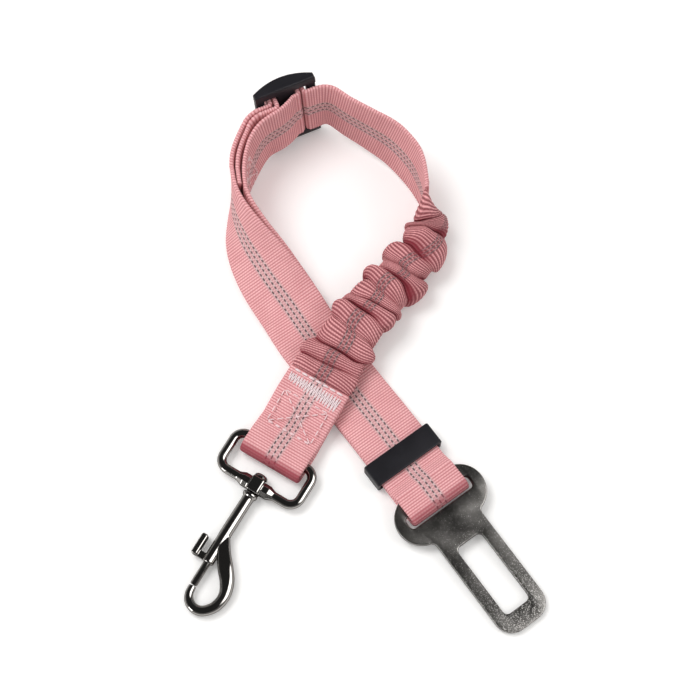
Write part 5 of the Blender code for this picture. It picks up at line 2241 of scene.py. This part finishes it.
@dataclass
class Studio:
    """Pale floor, soft light and the photograph's camera."""

    layout: Layout
    elevation: float = 70.0
    distance: float = 600.0
    focal_pixels: float = 1597.0
    picture: tuple[int, int] = (691, 693)
    sensor: float = 36.0
    floor_reach: float = 3000.0
    floor_drop: float = 0.05
    floor_lift: float = 0.12
    soft: Ramp = (-0.1, 0.75, 0.2, 0.70)
    ceiling: Ramp = (0.52, 0.34, 0.1, 1.0)
    walls: Ramp = (0.0, 0.22, 0.06, 0.32)
    window: Triple = (0.738, -0.1, 0.667)
    window_glow: Ramp = (0.88, 0.94, 0.0, 4.5)
    lamps: tuple[Lamp, ...] = (
        Lamp("key", (-0.45, 0.25, 0.9), 0.5, 5.2),
        Lamp("fill", (0.8, -0.12, 0.74), 0.5, 1.7),
        Lamp("side", (-0.75, -0.55, 0.2), 0.3, 1.6, mirrored=True))

    def build(self) -> None:
        """Set up the floor, the world, the lamps and the camera."""
        bpy.context.scene.view_settings.view_transform = "Standard"
        self.floor()
        self.world()
        for lamp in self.lamps:
            lamp.hang()
        self.camera()

    def camera(self) -> None:
        """Stand the camera where the photograph was taken from."""
        data = bpy.data.cameras.new("view")
        data.sensor_width = self.sensor
        data.lens = self.sensor * self.focal_pixels / max(self.picture)
        data.clip_start = 0.01
        camera = add_object("view", data)
        turn = math.radians(self.elevation)
        aim = Vector(self.layout.shift) * MM
        camera.location = aim + Vector((0.0, -math.cos(turn), math.sin(turn))) * self.distance * MM
        camera.rotation_euler = (math.pi / 2 - turn, 0.0, 0.0)
        bpy.context.scene.camera = camera

    def floor(self) -> None:
        """Lay a wide pale floor."""
        far, low = self.floor_reach, -self.floor_drop
        verts = np.array([[-far, -far, low], [far, -far, low], [far, far, low], [-far, far, low]])
        floor = new_object("floor", verts, [[0, 1, 2, 3]])
        material, make = start_material("pale_floor")
        make.give("Base Color", (0.93, 0.925, 0.915, 1.0))
        make.give("Roughness", 0.9)
        make.give("Specular IOR Level", 0.1)
        make.give("Emission Color", (1.0, 1.0, 1.0, 1.0))
        seen = make.node("ShaderNodeLightPath").outputs["Is Camera Ray"]
        make.give("Emission Strength", make.math("MULTIPLY", seen, self.floor_lift))
        floor.data.materials.append(material)

    def world(self) -> None:
        """Light from all round, and show metal a dark ceiling, pale walls and one window."""
        world = bpy.data.worlds.new("studio")
        world.use_nodes = True
        make = Shading(world.node_tree, world.node_tree.nodes["Background"])
        direction = make.node("ShaderNodeTexCoord").outputs["Generated"]
        parts = make.node("ShaderNodeSeparateXYZ")
        make.link(direction, parts.inputs[0])
        height = parts.outputs["Z"]
        walls = make.math("MULTIPLY", make.spread(height, *self.ceiling), make.spread(height, *self.walls))
        toward = make.node("ShaderNodeVectorMath", operation="DOT_PRODUCT")
        make.link(direction, toward.inputs[0])
        toward.inputs[1].default_value = self.window
        walls = make.math("ADD", walls, make.spread(toward.outputs["Value"], *self.window_glow))
        share = make.node("ShaderNodeMix")
        make.link(make.node("ShaderNodeLightPath").outputs["Is Glossy Ray"], share.inputs["Factor"])
        make.link(make.spread(height, *self.soft), share.inputs["A"])
        make.link(walls, share.inputs["B"])
        make.give("Strength", share.outputs["Result"])
        make.give("Color", (1.0, 0.99, 0.98, 1.0))
        bpy.context.scene.world = world


def main() -> None:
    """Dress the whole tether."""
    logging.basicConfig(level=logging.INFO, format="%(name)s %(message)s")
    layout = Layout()
    Studio(layout).build()
    finishes = Finishes()
    adjuster = Adjuster(layout, finishes)
    tongue = Tongue(layout, finishes)
    keeper = Keeper(layout, finishes)
    snap = Snap(layout, finishes)
    webbing = Webbing(layout, finishes, adjuster, tongue, keeper, snap)
    bungee = Bungee(webbing)
    for assembly in (adjuster, tongue, keeper, snap, webbing, bungee, Sewing(webbing)):
        assembly.build()
        LOG.info("%s done", type(assembly).__name__)


if __name__ == "__main__":
    main()
